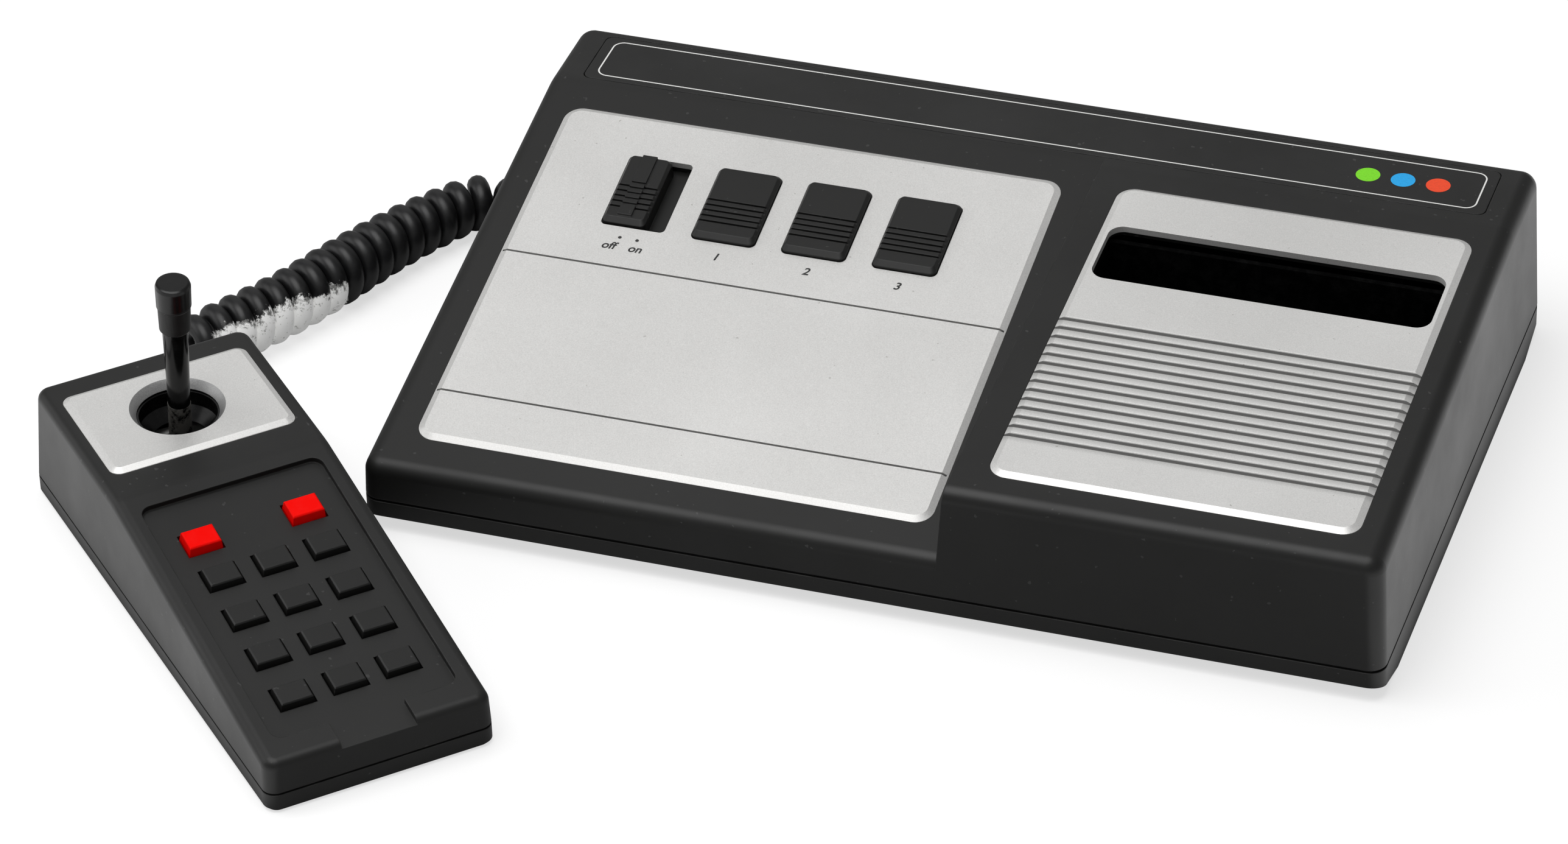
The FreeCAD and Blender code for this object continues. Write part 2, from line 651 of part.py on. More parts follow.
HAND_BOSSES = [(8.4, 9.0), (59.3, 9.0), (9.0, 160.0), (58.7, 160.0)]
HAND_BOARD_POSTS = [(12.0, 32.0), (55.7, 32.0), (12.0, 80.5), (55.7, 80.5)]
HAND_BOARD_TOP = -7.4
HAND_SCREW_R = 1.2
HAND_SCREW_HEAD_R = 2.6
HAND_SCREW_TOP_Z = 10.5
HAND_POST_R = 3.2
HAND_POST_FOOT_Z = 3.8
HAND_SCREW_SEAT_Z = 2.4
HAND_SEAM_GROOVE = 0.7
KEY_HOLE_HALF = (5.5, 4.6)


def pad_key_holes():
    made = []
    for u in PAD_KEY_U:
        for v in PAD_KEY_V:
            made.append((u, v))
    made += [(u, FIRE_V) for u in FIRE_U]
    half_u, half_v = KEY_HOLE_HALF
    return [box(u - half_u, u + half_u, v - half_v, v + half_v, -8, 0) for u, v in made]


def handset_upper_shell():
    outer = hand_form(0, 0, HAND_SEAM_Z)
    outer = outer.makeFillet(HAND_EDGE_R, hand_rim_edges(outer))
    shell = outer.cut(hand_form(HAND_WALL, HAND_TOP_WALL, HAND_SEAM_Z - 2))
    room = hand_form(HAND_WALL - 0.4, HAND_TOP_WALL - 0.5, 2.0)
    posts = [rod(HAND_POST_R, Vector(u, v, HAND_POST_FOOT_Z), Vector(u, v, 60)).common(room)
             for u, v in HAND_BOSSES]
    pegs = [on_pad(rod(1.6, Vector(u, v, HAND_BOARD_TOP + 0.9), Vector(u, v, -3.5)))
            for u, v in HAND_BOARD_POSTS]
    shell = joined(shell, *posts, *pegs)
    u0, u1, v0, v1 = PAD
    cuts = [on_pad(rounded_block(u0, u1, v0, v1, 3.5, -PAD_DEPTH, 6))]
    cuts.append(on_pad(box(PAD_MOUTH[0], PAD_MOUTH[1], -8, v0 + 5, -PAD_DEPTH, 6)))
    cuts += [on_pad(hole) for hole in pad_key_holes()]
    u0, u1, v0, v1 = STICK_PLATE
    cuts.append(on_stick_face(rounded_block(u0 - PANEL_GAP, u1 + PANEL_GAP, v0 - PANEL_GAP,
                                            v1 + PANEL_GAP, 3.5, -PANEL_SINK, 5)))
    cuts.append(rod(BOWL_R + 0.1, Vector(STICK_U, STICK_V, 24), Vector(STICK_U, STICK_V, 60)))
    cuts += [rod(HAND_SCREW_R, Vector(u, v, 0), Vector(u, v, HAND_SCREW_TOP_Z + 0.5))
             for u, v in HAND_BOSSES]
    cuts.append(rod(GLAND_NECK_R, Vector(STICK_U, HAND_L - 8, HAND_SEAM_Z),
                    Vector(STICK_U, HAND_L + 8, HAND_SEAM_Z)))
    for cut in cuts:
        shell = shell.cut(cut)
    return in_hand(shell)


def handset_lower_shell():
    floor = rounded_block(0, HAND_W, 0, HAND_L, HAND_CORNER_R, 0, HAND_SEAM_Z)
    low = [e for e in floor.Edges if e.BoundBox.ZMax < 0.01]
    floor = floor.makeChamfer(1.2, low)
    w = HAND_WALL
    tub = floor.cut(rounded_block(w, HAND_W - w, w, HAND_L - w, 1.8, w, HAND_SEAM_Z + 1))
    g = HAND_SEAM_GROOVE
    ring = rounded_block(-2, HAND_W + 2, -2, HAND_L + 2, 4, HAND_SEAM_Z - g, HAND_SEAM_Z)
    ring = ring.cut(rounded_block(g, HAND_W - g, g, HAND_L - g, HAND_CORNER_R - g,
                                  HAND_SEAM_Z - 2, HAND_SEAM_Z + 1))
    tub = tub.cut(ring)
    seats = [rod(HAND_POST_R + 1, Vector(u, v, 1), Vector(u, v, HAND_POST_FOOT_Z)) for u, v in HAND_BOSSES]
    tub = joined(tub, *seats)
    cuts = [rod(HAND_SCREW_R + 0.2, Vector(u, v, -1), Vector(u, v, 6)) for u, v in HAND_BOSSES]
    cuts += [rod(HAND_SCREW_HEAD_R + 0.2, Vector(u, v, -1), Vector(u, v, HAND_SCREW_SEAT_Z))
             for u, v in HAND_BOSSES]
    cuts.append(rod(GLAND_NECK_R, Vector(STICK_U, HAND_L - 8, HAND_SEAM_Z),
                    Vector(STICK_U, HAND_L + 8, HAND_SEAM_Z)))
    for cut in cuts:
        tub = tub.cut(cut)
    return in_hand(tub)


def joystick_plate():
    u0, u1, v0, v1 = STICK_PLATE
    rise = PANEL_T - PANEL_SINK
    bevel = PANEL_BEVEL
    foot = rounded_block(u0, u1, v0, v1, 3.4, -PANEL_SINK, 0)
    top = tapered_block(STICK_PLATE, 3.4, 0, (u0 + bevel, u1 - bevel, v0 + bevel, v1 - bevel), 1.5, rise)
    plate = on_stick_face(joined(foot, top))
    face_z = HAND_CREST_Z + HAND_REAR_SLOPE * (STICK_V - HAND_CREST_V) + rise
    low = face_z - 2.3
    sink = Part.makeCone(STICK_HOLE_R, STICK_SINK_R, face_z + 0.2 - low, Vector(STICK_U, STICK_V, low))
    return in_hand(plate.cut(sink).cut(rod(STICK_HOLE_R, Vector(STICK_U, STICK_V, 20),
                                           Vector(STICK_U, STICK_V, 60))))


def joystick_bowl():
    """The black dish under the plate, with a flange below the shell and a hole for the stick."""
    top = HAND_CREST_Z + HAND_REAR_SLOPE * (STICK_V - HAND_CREST_V) - PANEL_SINK - 0.7
    low = top - 7.8
    profile = [(BOWL_R - 1.1, top), (BOWL_R, top), (BOWL_R, top - 3.6), (15.5, top - 3.6),
               (15.5, top - 4.8), (BOWL_R, top - 4.8), (8.8, low), (7.6, low), (BOWL_R - 1.1, top - 4.4)]
    return in_hand(turned(profile, Vector(STICK_U, STICK_V, 0)))


# Joystick: a ring frame turning about U in a fixed yoke, with the stick turning about V in the ring
def stick_yoke():
    base = box(STICK_U - 19, STICK_U + 17, STICK_V - 7, STICK_V + 7, HAND_WALL, HAND_WALL + 2)
    ears = []
    for side in (-1, 1):
        u = STICK_U + side * 15.5
        ears.append(box(u - 1.4, u + 1.4, STICK_V - 4, STICK_V + 4, HAND_WALL, PIVOT_Z + 3.6))
    bore = rod(PIVOT_R + PIVOT_PLAY, Vector(STICK_U - 30, STICK_V, PIVOT_Z),
               Vector(STICK_U + 30, STICK_V, PIVOT_Z))
    return in_hand(joined(base, *ears).cut(bore))


def stick_ring():
    u, v, z = STICK_U, STICK_V, PIVOT_Z
    ring = rounded_block(u - 13, u + 13, v - 10, v + 10, 2.0, z - 2.4, z + 2.4)
    ring = ring.cut(box(u - 10.4, u + 10.4, v - 7.2, v + 7.2, z - 4, z + 4))
    ring = ring.cut(rod(PIVOT_R + PIVOT_PLAY, Vector(u, v - 12, z), Vector(u, v + 12, z)))
    stubs = [rod(PIVOT_R, Vector(u + s * 12, v, z), Vector(u + s * e, v, z))
             for s, e in ((-1, 17.6), (1, 21.0))]
    return in_hand(leaned(joined(ring, *stubs)))


def stick_rod():
    """The grey inner rod, with its cross pin and a blunt lower end."""
    u, v, z = STICK_U, STICK_V, PIVOT_Z
    shaft = rod(STICK_ROD_R, Vector(u, v, z - 4.5), Vector(u, v, STICK_SLEEVE_Z))
    pin = rod(PIVOT_R, Vector(u, v - 15.4, z), Vector(u, v + 9.8, z))
    neck = rod(STICK_CORE_R, Vector(u, v, STICK_SLEEVE_Z - 0.5), Vector(u, v, STICK_CAP_Z + CAP_BORE))
    return in_hand(leaned(joined(shaft, pin, neck)))


def stick_sleeve():
    core = STICK_CORE_R
    profile = [(core, STICK_SLEEVE_Z), (3.2, STICK_SLEEVE_Z), (3.7, STICK_CAP_Z), (core, STICK_CAP_Z)]
    return in_hand(leaned(turned(profile, Vector(STICK_U, STICK_V, 0))))


def stick_cap():
    """The finger cap: a small lip below, a step half-way up and a rounded top edge."""
    z0, z1, core = STICK_CAP_Z, STICK_TOP_Z, STICK_CORE_R
    profile = [(0, z0 + CAP_BORE), (core, z0 + CAP_BORE), (core, z0), (4.1, z0), (4.5, z0 + 0.5),
               (4.7, z0 + 8.2), (5.0, z0 + 8.6), (5.1, z1 - 1.2), (4.8, z1 - 0.3), (4.2, z1), (0, z1)]
    return in_hand(leaned(turned(profile, Vector(STICK_U, STICK_V, 0))))


def potentiometer_side():
    u, v, z = STICK_U, STICK_V, PIVOT_Z
    case = rod(8.0, Vector(u + 17.2, v, z), Vector(u + 24.0, v, z))
    legs = box(u + 18.5, u + 22.5, v - 5, v + 5, HAND_WALL, z - 6)
    bore = rod(PIVOT_R + PIVOT_PLAY, Vector(u + 16, v, z), Vector(u + 21.5, v, z))
    return in_hand(joined(case, legs).cut(bore))


def potentiometer_front():
    """Carried by the ring, so that it senses the stick's sideways tilt."""
    u, v, z = STICK_U, STICK_V, PIVOT_Z
    case = rod(3.8, Vector(u, v - 16.6, z), Vector(u, v - 11.8, z))
    neck = rod(2.8, Vector(u, v - 11.9, z), Vector(u, v - 10.0, z))
    bore = rod(PIVOT_R + PIVOT_PLAY, Vector(u, v - 15.8, z), Vector(u, v - 9, z))
    return in_hand(leaned(joined(case, neck).cut(bore)))


# Keypad
def pad_key(u, v, rise):
    """A keypad key: a tapered cap with bevelled edges, on a stem with a flange below the shell."""
    w, d = PAD_KEY_BASE
    fw, fd = PAD_KEY_FACE
    top = -PAD_DEPTH + rise
    bevel = 0.35
    foot = (u - w / 2, u + w / 2, v - d / 2, v + d / 2)
    brow = (u - fw / 2, u + fw / 2, v - fd / 2, v + fd / 2)
    face = (brow[0] + bevel, brow[1] - bevel, brow[2] + bevel, brow[3] - bevel)
    cap = frustum(foot, -4.4, brow, top - bevel)
    crown = frustum(brow, top - bevel, face, top)
    flange = box(u - 6.4, u + 6.4, v - 5.4, v + 5.4, -5.3, -4.2)
    return in_hand(on_pad(joined(cap, crown, flange)))


def keypad_sheet():
    sheet = box(9.0, 58.7, 16.0, 96.0, HAND_BOARD_TOP, HAND_BOARD_TOP + 0.8)
    for u, v in HAND_BOARD_POSTS:
        sheet = sheet.cut(box(u - 2, u + 2, v - 2, v + 2, -12, 0))
    return in_hand(on_pad(sheet))


def keypad_board():
    board = box(8.0, 59.7, 15.0, 98.0, HAND_BOARD_TOP - 1.6, HAND_BOARD_TOP)
    return in_hand(on_pad(board))


# Glands and the curly cord
def console_gland():
    x = -WIDTH / 2
    neck = rod(GLAND_NECK_R, Vector(x - GLAND_PROUD, GLAND_Y, SEAM_Z), Vector(x + WALL + 3, GLAND_Y, SEAM_Z))
    flange = rod(GLAND_FLANGE_R, Vector(x + WALL + 1.7, GLAND_Y, SEAM_Z),
                 Vector(x + WALL + 3.2, GLAND_Y, SEAM_Z))
    return joined(neck, flange)


def handset_gland():
    end = HAND_L + GLAND_V
    neck = rod(GLAND_NECK_R, Vector(STICK_U, HAND_L - HAND_WALL - 2.6, HAND_SEAM_Z),
               Vector(STICK_U, end, HAND_SEAM_Z))
    return in_hand(neck)


def cord_route():
    """The line on the floor that the curls go round above: a second-degree spline."""
    poles = [Vector(x, y, 0) for x, y in CORD_ROUTE]
    spans = len(poles) - 2
    route = Part.BSplineCurve()
    route.buildFromPolesMultsKnots(poles, [3] + [1] * (spans - 1) + [3], list(range(spans + 1)), False, 2)
    return route


def curl_radius(s):
    """From the middle of the curls to the middle of the wire, at s along the route."""
    share = (s - CURL_TAPER[0]) / (CURL_TAPER[1] - CURL_TAPER[0])
    outer = CURL_NEAR_R + (CURL_FAR_R - CURL_NEAR_R) * min(1.0, max(0.0, share))
    return outer - WIRE_D / 2


def curl_height(s):
    """How high the middle of the curls lies, so that they rest on the floor."""
    return curl_radius(s) + WIRE_D / 2 + FLOOR_PLAY


def curl_rate(route, s):
    """How fast the wire winds at s: not in the tail, slow at both ends, and slower in a bend."""
    radius = curl_radius(s)
    steepest = math.sin(math.atan(2 * math.pi * radius / CURL_PITCH))
    eased = min(1.0, max(0.0, s - CURL_TAIL) / CURL_EASE, (route.length() - s) / CURL_EASE)
    bend = route.curvature(route.parameterAtDistance(s))
    return math.tan(math.asin(steepest * eased)) * (1 - radius * bend) / radius


def wire_start():
    """The wound angle at the controller, where the wire is as high as its gland."""
    return math.asin((HAND_SEAM_Z - curl_height(0)) / curl_radius(0))


def wire_stop(length):
    return math.asin((SEAM_Z - curl_height(length)) / curl_radius(length))


def curl_points(route):
    """The wire's centre line round the route, as points with the angle wound so far."""
    length = route.length()
    count = int(length / CURL_STEP)
    rates = [curl_rate(route, length * (i + 0.5) / count) for i in range(count)]
    whole = 2 * math.pi * CURL_TURNS + wire_start() - wire_stop(length)
    wound = 0.0
    points = []
    for i in range(count + 1):
        s = length * i / count
        u = route.parameterAtDistance(s)
        along = route.tangent(u)[0]
        side = Vector(-along.y, along.x, 0)
        angle = wire_start() - wound
        offset = side * (curl_radius(s) * math.cos(angle))
        height = curl_height(s) + curl_radius(s) * math.sin(angle)
        points.append((route.value(u) + offset + Vector(0, 0, height), wound))
        if i < count:
            wound += whole * rates[i] / sum(rates)
    return points


def arc_edge(start, tangent, end):
    """The circular arc that leaves start along tangent and reaches end."""
    chord = end - start
    ahead = chord * (1 / chord.Length)
    side = tangent - ahead * tangent.dot(ahead)
    if side.Length < 1e-6:
        return Part.LineSegment(start, end).toShape()
    half = math.acos(max(-1, min(1, tangent.dot(ahead)))) / 2
    middle = (start + end) * 0.5 + side.normalize() * (chord.Length / 2 * math.tan(half))
    return Part.Arc(start, middle, end).toShape()


def biarc_edges(p0, t0, p1, t1):
    """Two arcs that join two points and match the directions there."""
    v = p1 - p0
    t = t0 + t1
    spread = 2 * (1 - t0.dot(t1))
    if spread < 1e-9:
        reach = v.dot(v) / (4 * v.dot(t1))
    else:
        reach = (-v.dot(t) + math.sqrt(v.dot(t) ** 2 + spread * v.dot(v))) / spread
    joint = (p0 + t0 * reach + p1 - t1 * reach) * 0.5
    back = arc_edge(p1, t1 * -1, joint)
    return [arc_edge(p0, t0, joint), back]


def least_self_gap(points):
    """The least gap between turns, from points over half a turn apart along the wire."""
    least = 1e9
    for i, (a, wound_a) in enumerate(points):
        for b, wound_b in points[i + 1:]:
            if 3.6 < wound_b - wound_a < 14:
                least = min(least, (a - b).Length)
    return least - WIRE_D


def curly_cord():
    """One tube: straight out of the controller's gland, curled, and straight into the console's."""
    points = curl_points(cord_route())
    out = HAND_PLACE.Rotation.multVec(Vector(0, 1, 0))
    start = points[0][0] - out * CORD_STRAIGHT
    stop = points[-1][0] + Vector(CORD_STRAIGHT, 0, 0)
    stations = [0]
    for i, (point, wound) in enumerate(points):
        last = stations[-1]
        in_tail = points[last][1] < CURL_STATION and (i - last) * CURL_STEP > TAIL_STATION
        if in_tail or wound - points[last][1] > CURL_STATION:
            stations.append(i)
    stations[-1] = len(points) - 1
    directions = {0: out, len(points) - 1: Vector(1, 0, 0)}
    edges = [Part.LineSegment(start, points[0][0]).toShape()]
    for a, b in zip(stations[:-1], stations[1:]):
        for i in (a, b):
            if i not in directions:
                directions[i] = (points[i + 1][0] - points[i - 1][0]).normalize()
        edges += biarc_edges(points[a][0], directions[a], points[b][0], directions[b])
    edges.append(Part.LineSegment(points[-1][0], stop).toShape())
    path = Part.Wire(edges)
    across = Vector(0, 0, 1)
    beside = out.cross(across)
    ring = []
    for i in range(WIRE_SIDES):
        turn = 2 * math.pi * (i + 0.5) / WIRE_SIDES
        ring.append(start + (beside * math.cos(turn) + across * math.sin(turn)) * (WIRE_D / 2))
    sweep = Part.BRepOffsetAPI.MakePipeShell(path)
    sweep.add(Part.makePolygon(ring + ring[:1]))
    sweep.build()
    sweep.makeSolid()
    tube = sweep.shape()
    radii = [e.Curve.Radius for e in edges if hasattr(e.Curve, "Radius")]
    print("cord wire", round(path.Length, 1), "mm from", start, "to", stop)
    section = WIRE_SIDES / 2 * (WIRE_D / 2) ** 2 * math.sin(2 * math.pi / WIRE_SIDES)
    print("least radius", round(min(radii), 2), "least gap", round(least_self_gap(points[::3]), 2),
          "volume over section times length", round(tube.Volume / path.Length / section, 4))
    return tube


PARTS = {
    "upper_casing": lambda: joined(upper_casing(), *board_pillars().Solids),
    "lower_tray": lower_tray,
    "control_panel": control_panel,
    "cartridge_panel": cartridge_panel,
    "header_plate": header_plate,
    "console_key_1": lambda: console_key(KEY_X[0]),
    "console_key_2": lambda: console_key(KEY_X[1]),
    "console_key_3": lambda: console_key(KEY_X[2]),
    "power_slide_knob": power_slide_knob,
    "switch_board": switch_board,
    "key_switches": key_switches,
    "power_switch": power_switch,
    "cartridge_guide": cartridge_guide,
    "cartridge_connector": cartridge_connector,
    "main_board": main_board,
    "board_chips": board_chips,
    "capacitors": capacitors,
    "heat_sink": heat_sink,
    "rf_modulator": rf_modulator,
    "power_socket": power_socket,
    "casing_screws": lambda: screw_group(BOSSES, SCREW_HEAD_R, SCREW_R, SCREW_SEAT_Z - SCREW_HEAD_T,
                                         SCREW_TOP_Z),
    "console_cord_gland": console_gland,
    "handset_upper_shell": handset_upper_shell,
    "handset_lower_shell": handset_lower_shell,
    "joystick_plate": joystick_plate,
    "joystick_bowl": joystick_bowl,
    "stick_yoke": stick_yoke,
    "stick_ring": stick_ring,
    "stick_rod": stick_rod,
    "stick_sleeve": stick_sleeve,
    "stick_cap": stick_cap,
    "potentiometer_side": potentiometer_side,
    "potentiometer_front": potentiometer_front,
    "keypad_sheet": keypad_sheet,
    "keypad_board": keypad_board,
    "handset_screws": lambda: in_hand(screw_group(HAND_BOSSES, HAND_SCREW_HEAD_R, HAND_SCREW_R,
                                                   HAND_SCREW_SEAT_Z - SCREW_HEAD_T, HAND_SCREW_TOP_Z)),
    "handset_cord_gland": handset_gland,
    "curly_cord": curly_cord,
}

for name, make in PARTS.items():
    save(name, make())
for row, v in enumerate(reversed(PAD_KEY_V)):
    for column, u in enumerate(PAD_KEY_U):
        save("keypad_key_" + str(3 * row + column + 1), pad_key(u, v, PAD_KEY_RISE))
for name, u in zip(("fire_button_left", "fire_button_right"), FIRE_U):
    save(name, pad_key(u, FIRE_V, FIRE_RISE))
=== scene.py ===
import math
import bmesh
import bpy
from mathutils import Matrix, Vector


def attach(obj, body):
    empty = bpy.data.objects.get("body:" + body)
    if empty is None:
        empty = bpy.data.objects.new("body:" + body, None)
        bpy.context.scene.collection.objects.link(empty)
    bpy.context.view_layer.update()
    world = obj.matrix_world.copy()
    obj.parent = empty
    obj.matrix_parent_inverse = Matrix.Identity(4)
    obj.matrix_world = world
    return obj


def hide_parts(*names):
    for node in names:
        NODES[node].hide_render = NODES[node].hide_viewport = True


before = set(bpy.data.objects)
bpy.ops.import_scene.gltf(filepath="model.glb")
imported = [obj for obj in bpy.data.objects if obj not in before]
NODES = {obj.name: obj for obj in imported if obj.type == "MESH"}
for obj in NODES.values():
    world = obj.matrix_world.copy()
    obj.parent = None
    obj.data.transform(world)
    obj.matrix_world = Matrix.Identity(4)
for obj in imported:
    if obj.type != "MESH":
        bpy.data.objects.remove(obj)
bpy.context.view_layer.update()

MM = 0.001

# Camera: where it stands in metres, how it is turned in degrees, and its lens
CAMERA_AT = (0.4748, -1.5128, 1.1154)
CAMERA_TURN = (54.9206, 1.5006, 18.2086)
SENSOR_MM = 36.0
LENS_MM = 152.48
FRAME_SHIFT = -0.0019

# Console, millimetres: the sloping faces as they stand in the solids
FRONT_Y = -96.0
LEFT_Z = 22.4
LEFT_SLOPE = 0.2125
POD_Z = 46.2
POD_SLOPE = 0.0655
HEADER_Z = 56.5
PANEL_RISE = 1.0

# Cross lines of the left panel: across, up the face, their width and how high the ink lies
GROOVE_X = (-137.4, 15.8)
GROOVE_T = (32.0, 89.7)
GROOVE_W = 0.66
GROOVE_FLOOR = 0.22

# Ribs of the right panel: the first one's place up the face and the pitch, then in pitches from there
# where they start and stop, and along one pitch how much of the silver shows through the painted shade of
# each rib's wall and of the paint in front of it: from, to, before, after
RIB_FIRST_T = 29.08
RIB_PITCH = 4.186
RIB_ZONE = (-0.69, 13.25)
RIB_ZONE_EDGE = 0.01
RIB_WALL = (0.15, 0.20, 0.16, 1.0)
RIB_FRONT = (0.32, 0.775, 1.0, 0.72)
RIB_UP = (0.0, math.cos(math.atan(POD_SLOPE)), math.sin(math.atan(POD_SLOPE)))
RIB_FIRST_AT = (0.0, (FRONT_Y + RIB_UP[1] * RIB_FIRST_T) * MM, (POD_Z + RIB_UP[2] * RIB_FIRST_T) * MM)
# The colour of the ribs' painted shade
RIB_SHADOW = (0.02, 0.02, 0.019)

# Prints: the header's line frame and discs, then the dots, words and numbers of the left panel
INK_LIFT = 0.03
HEADER_FRAME = (-135.1, 135.1, 67.9, 87.4)
HEADER_CORNER = 3.4
HEADER_LINE_W = 0.45
DISC_X = (101.0, 111.5, 122.0)
DISC_Y = 77.6
DISC_R = 3.6
SWITCH_DOTS = (("left", -104.9, 101.6), ("right", -99.5, 101.4))
SWITCH_DOT_R = 0.55
SWITCH_WORDS = (("off", -107.2), ("on", -99.0))
SWITCH_WORD_Y = 96.6
KEY_NUMBERS = (("1", -74.8), ("2", -47.1), ("3", -19.4))
KEY_NUMBER_Y = 98.6
WORD_SIZE = 4.0
WORD_WEIGHT = 0.09
WORD_SLANT = 0.2

# Hand controller: its turn and place, and the face behind the crest that the joystick stands in
HAND_TURN = 44.643
HAND_AT = (-126.1, -227.6)
HAND_CREST = (109.6, 35.28)
STICK_SLOPE = 0.0267

# Joystick plate: its area and the middle of its hole on that face, then the loops of its rim, as inset,
# corner radius and height, and of its countersunk hole, as radius and height
PLATE_AREA = (5.5, 62.2, 10.4, 51.7)
PLATE_SINK_AT = (33.85, 31.94)
PLATE_RIM = ((0, 3.4, -1.0), (0, 3.4, -0.1), (0.1, 3.3, 0.05), (1.75, 1.7, 0.93), (1.9, 1.5, 1.0))
PLATE_SINK = ((13.8, 1.0), (13.62, 0.88), (12.0, -1.35), (11.9, -1.55), (12.3, -1.55), (12.3, -1.0))
PLATE_SHARP_DEG = 25

# The height at which the finger cap steps in
CAP_STEP_Z = 75.3

# How much of the noise's range a speck's soft edge takes
SPECK_EDGE = 0.015

# Pale paint on the cord: a place in its edge, the side that it covers, its reach along the cord, and how
# much it glows as painted light
PAINT_AT = (-0.2026, -0.0070, 0.0120)
PAINT_SIDE = (0.481, -0.367, -0.796)
PAINT_ALONG = (0.529, 0.849, 0.0)
PAINT_REACH = (-36.0, 14.5)
PAINT_LIGHT_GLOW = 0.16

# Curly cord, millimetres: the solid's route and ends, with curls as wide as on the real cord.
# CURL_RADII gives their outer radius at places along the route
WIRE_D = 6.4
CURL_RADII = [(0.0, 9.55), (15.0, 6.6), (25.0, 6.4), (38.0, 10.05), (88.0, 10.05), (143.0, 8.7),
              (162.9, 7.2)]
CURL_TURNS = 18
CURL_PITCH = 6.7
CURL_TAIL = 25.0
CURL_EASE = 8.0
CURL_POINTS = 16
FINE_STEPS = 5
TAIL_POINT = 2.5
FLOOR_PLAY = 0.05
CORD_STRAIGHT = 6.0
HAND_SEAM_Z = 6.5
CASE_SEAM_Z = 10.9
CORD_ROUTE = [(-226.66, -69.70), (-229.68, -66.64), (-231.8, -60.5), (-231.2, -52.0), (-228.2, -44.5),
              (-224.0, -36.5), (-216.8, -24.5), (-209.2, -12.2), (-202.6, 1.0), (-196.6, 16.0),
              (-190.6, 30.5), (-184.7, 42.0), (-179.4, 51.0), (-174.6, 58.4), (-169.3, 64.0),
              (-163.7, 67.2), (-158.0, 67.2)]

# Floor, metres: its size and tone, how much it glows to the camera, and how much it glows in the shine of
# the console's right wall and the controller's left wall, a painted reflection on them, over how wide a
# strip beside them
FLOOR_HALF = 6.0
FLOOR_TONE = 0.45
FLOOR_GLOW = 0.64
FLOOR_REFLECTION_GLOW = 0.8
SHINE_EASE = 0.008
CASE_SIDE_AT = (0.149, 0.0, 0.0)
CASE_SIDE_OUT = (1.0, 0.0, 0.0)
HAND_SIDE_AT = (HAND_AT[0] * MM, HAND_AT[1] * MM, 0.0)
HAND_SIDE_OUT = (-0.711, -0.703, 0.0)

# Light: the world's level, then each lamp's name, place, aim, size and watts
WORLD_LEVEL = 0.26
LAMPS = (("key_above", (-0.30, -0.30, 1.7), (0, 0, 0), (1.4, 1.4), 21),
         ("rear_soft", (-0.75, 1.5, 1.25), (0, 0, 0.03), (1.8, 1.0), 2.0),
         ("fill_left", (-1.8, -0.4, 0.9), (0, 0, 0.05), (1.4, 1.0), 7))


# Places
def slope_frame(y, z, slope):
    """The frame of a sloping face, in metres: X across, Y up the slope and Z off the face."""
    return Matrix.Translation((0, y * MM, z * MM)) @ Matrix.Rotation(math.atan(slope), 4, "X")


LEFT_FACE = slope_frame(FRONT_Y, LEFT_Z, LEFT_SLOPE)
HEADER_FACE = Matrix.Translation((0, 0, HEADER_Z * MM))
HAND_PLACE = (Matrix.Translation((HAND_AT[0] * MM, HAND_AT[1] * MM, 0))
              @ Matrix.Rotation(math.radians(HAND_TURN), 4, "Z"))
STICK_FACE = HAND_PLACE @ slope_frame(*HAND_CREST, STICK_SLOPE)


def link_object(name, data):
    made = bpy.data.objects.new(name, data)
    bpy.context.scene.collection.objects.link(made)
    return made


def add_object(name, data):
    """A piece of the part: what this script adds stands still, so it rides the base."""
    made = link_object(name, data)
    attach(made, "base")
    return made


# Material building
def new_material(name):
    """A material with its node tree, its surface shader and the place shaded, in metres."""
    material = bpy.data.materials.new(name)
    material.use_nodes = True
    tree = material.node_tree
    surface = tree.nodes["Principled BSDF"]
    place = tree.nodes.new("ShaderNodeTexCoord")
    return material, tree, surface, place.outputs["Object"]


def noise(tree, place, scale, detail=2.0, rough=0.5):
    """Noise of about scale waves per metre."""
    made = tree.nodes.new("ShaderNodeTexNoise")
    made.inputs["Scale"].default_value = scale
    made.inputs["Detail"].default_value = detail
    made.inputs["Roughness"].default_value = rough
    tree.links.new(place, made.inputs["Vector"])
    return made.outputs["Fac"]


def ramp(tree, value, low, high, out_low=0.0, out_high=1.0):
    """The value taken from one range to another, held at its ends."""
    made = tree.nodes.new("ShaderNodeMapRange")
    made.inputs["From Min"].default_value = low
    made.inputs["From Max"].default_value = high
    made.inputs["To Min"].default_value = out_low
    made.inputs["To Max"].default_value = out_high
    tree.links.new(value, made.inputs["Value"])
    return made.outputs["Result"]


def math_node(tree, kind, *values):
    """A calculation on numbers and node outputs."""
    made = tree.nodes.new("ShaderNodeMath")
    made.operation = kind
    for socket, value in zip(made.inputs, values):
        if isinstance(value, float):
            socket.default_value = value
        else:
            tree.links.new(value, socket)
    return made.outputs["Value"]


def blend_colours(tree, amount, low, high):
    """From the low colour, where the amount is 0, to the high one, where it is 1."""
    made = tree.nodes.new("ShaderNodeMix")
    made.data_type = "RGBA"
    tree.links.new(amount, made.inputs["Factor"])
    for socket, value in (("A", low), ("B", high)):
        target = [s for s in made.inputs if s.name == socket and s.type == "RGBA"][0]
        if isinstance(value, tuple):
            target.default_value = (*value, 1)
        else:
            tree.links.new(value, target)
    return [s for s in made.outputs if s.type == "RGBA"][0]


def vector_node(tree, kind, a, b, result):
    """The same for vectors, with the name of the output that gives the result."""
    made = tree.nodes.new("ShaderNodeVectorMath")
    made.operation = kind
    for socket, value in zip(made.inputs, (a, b)):
        if isinstance(value, tuple):
            socket.default_value = value
        else:
            tree.links.new(value, socket)
    return made.outputs[result]


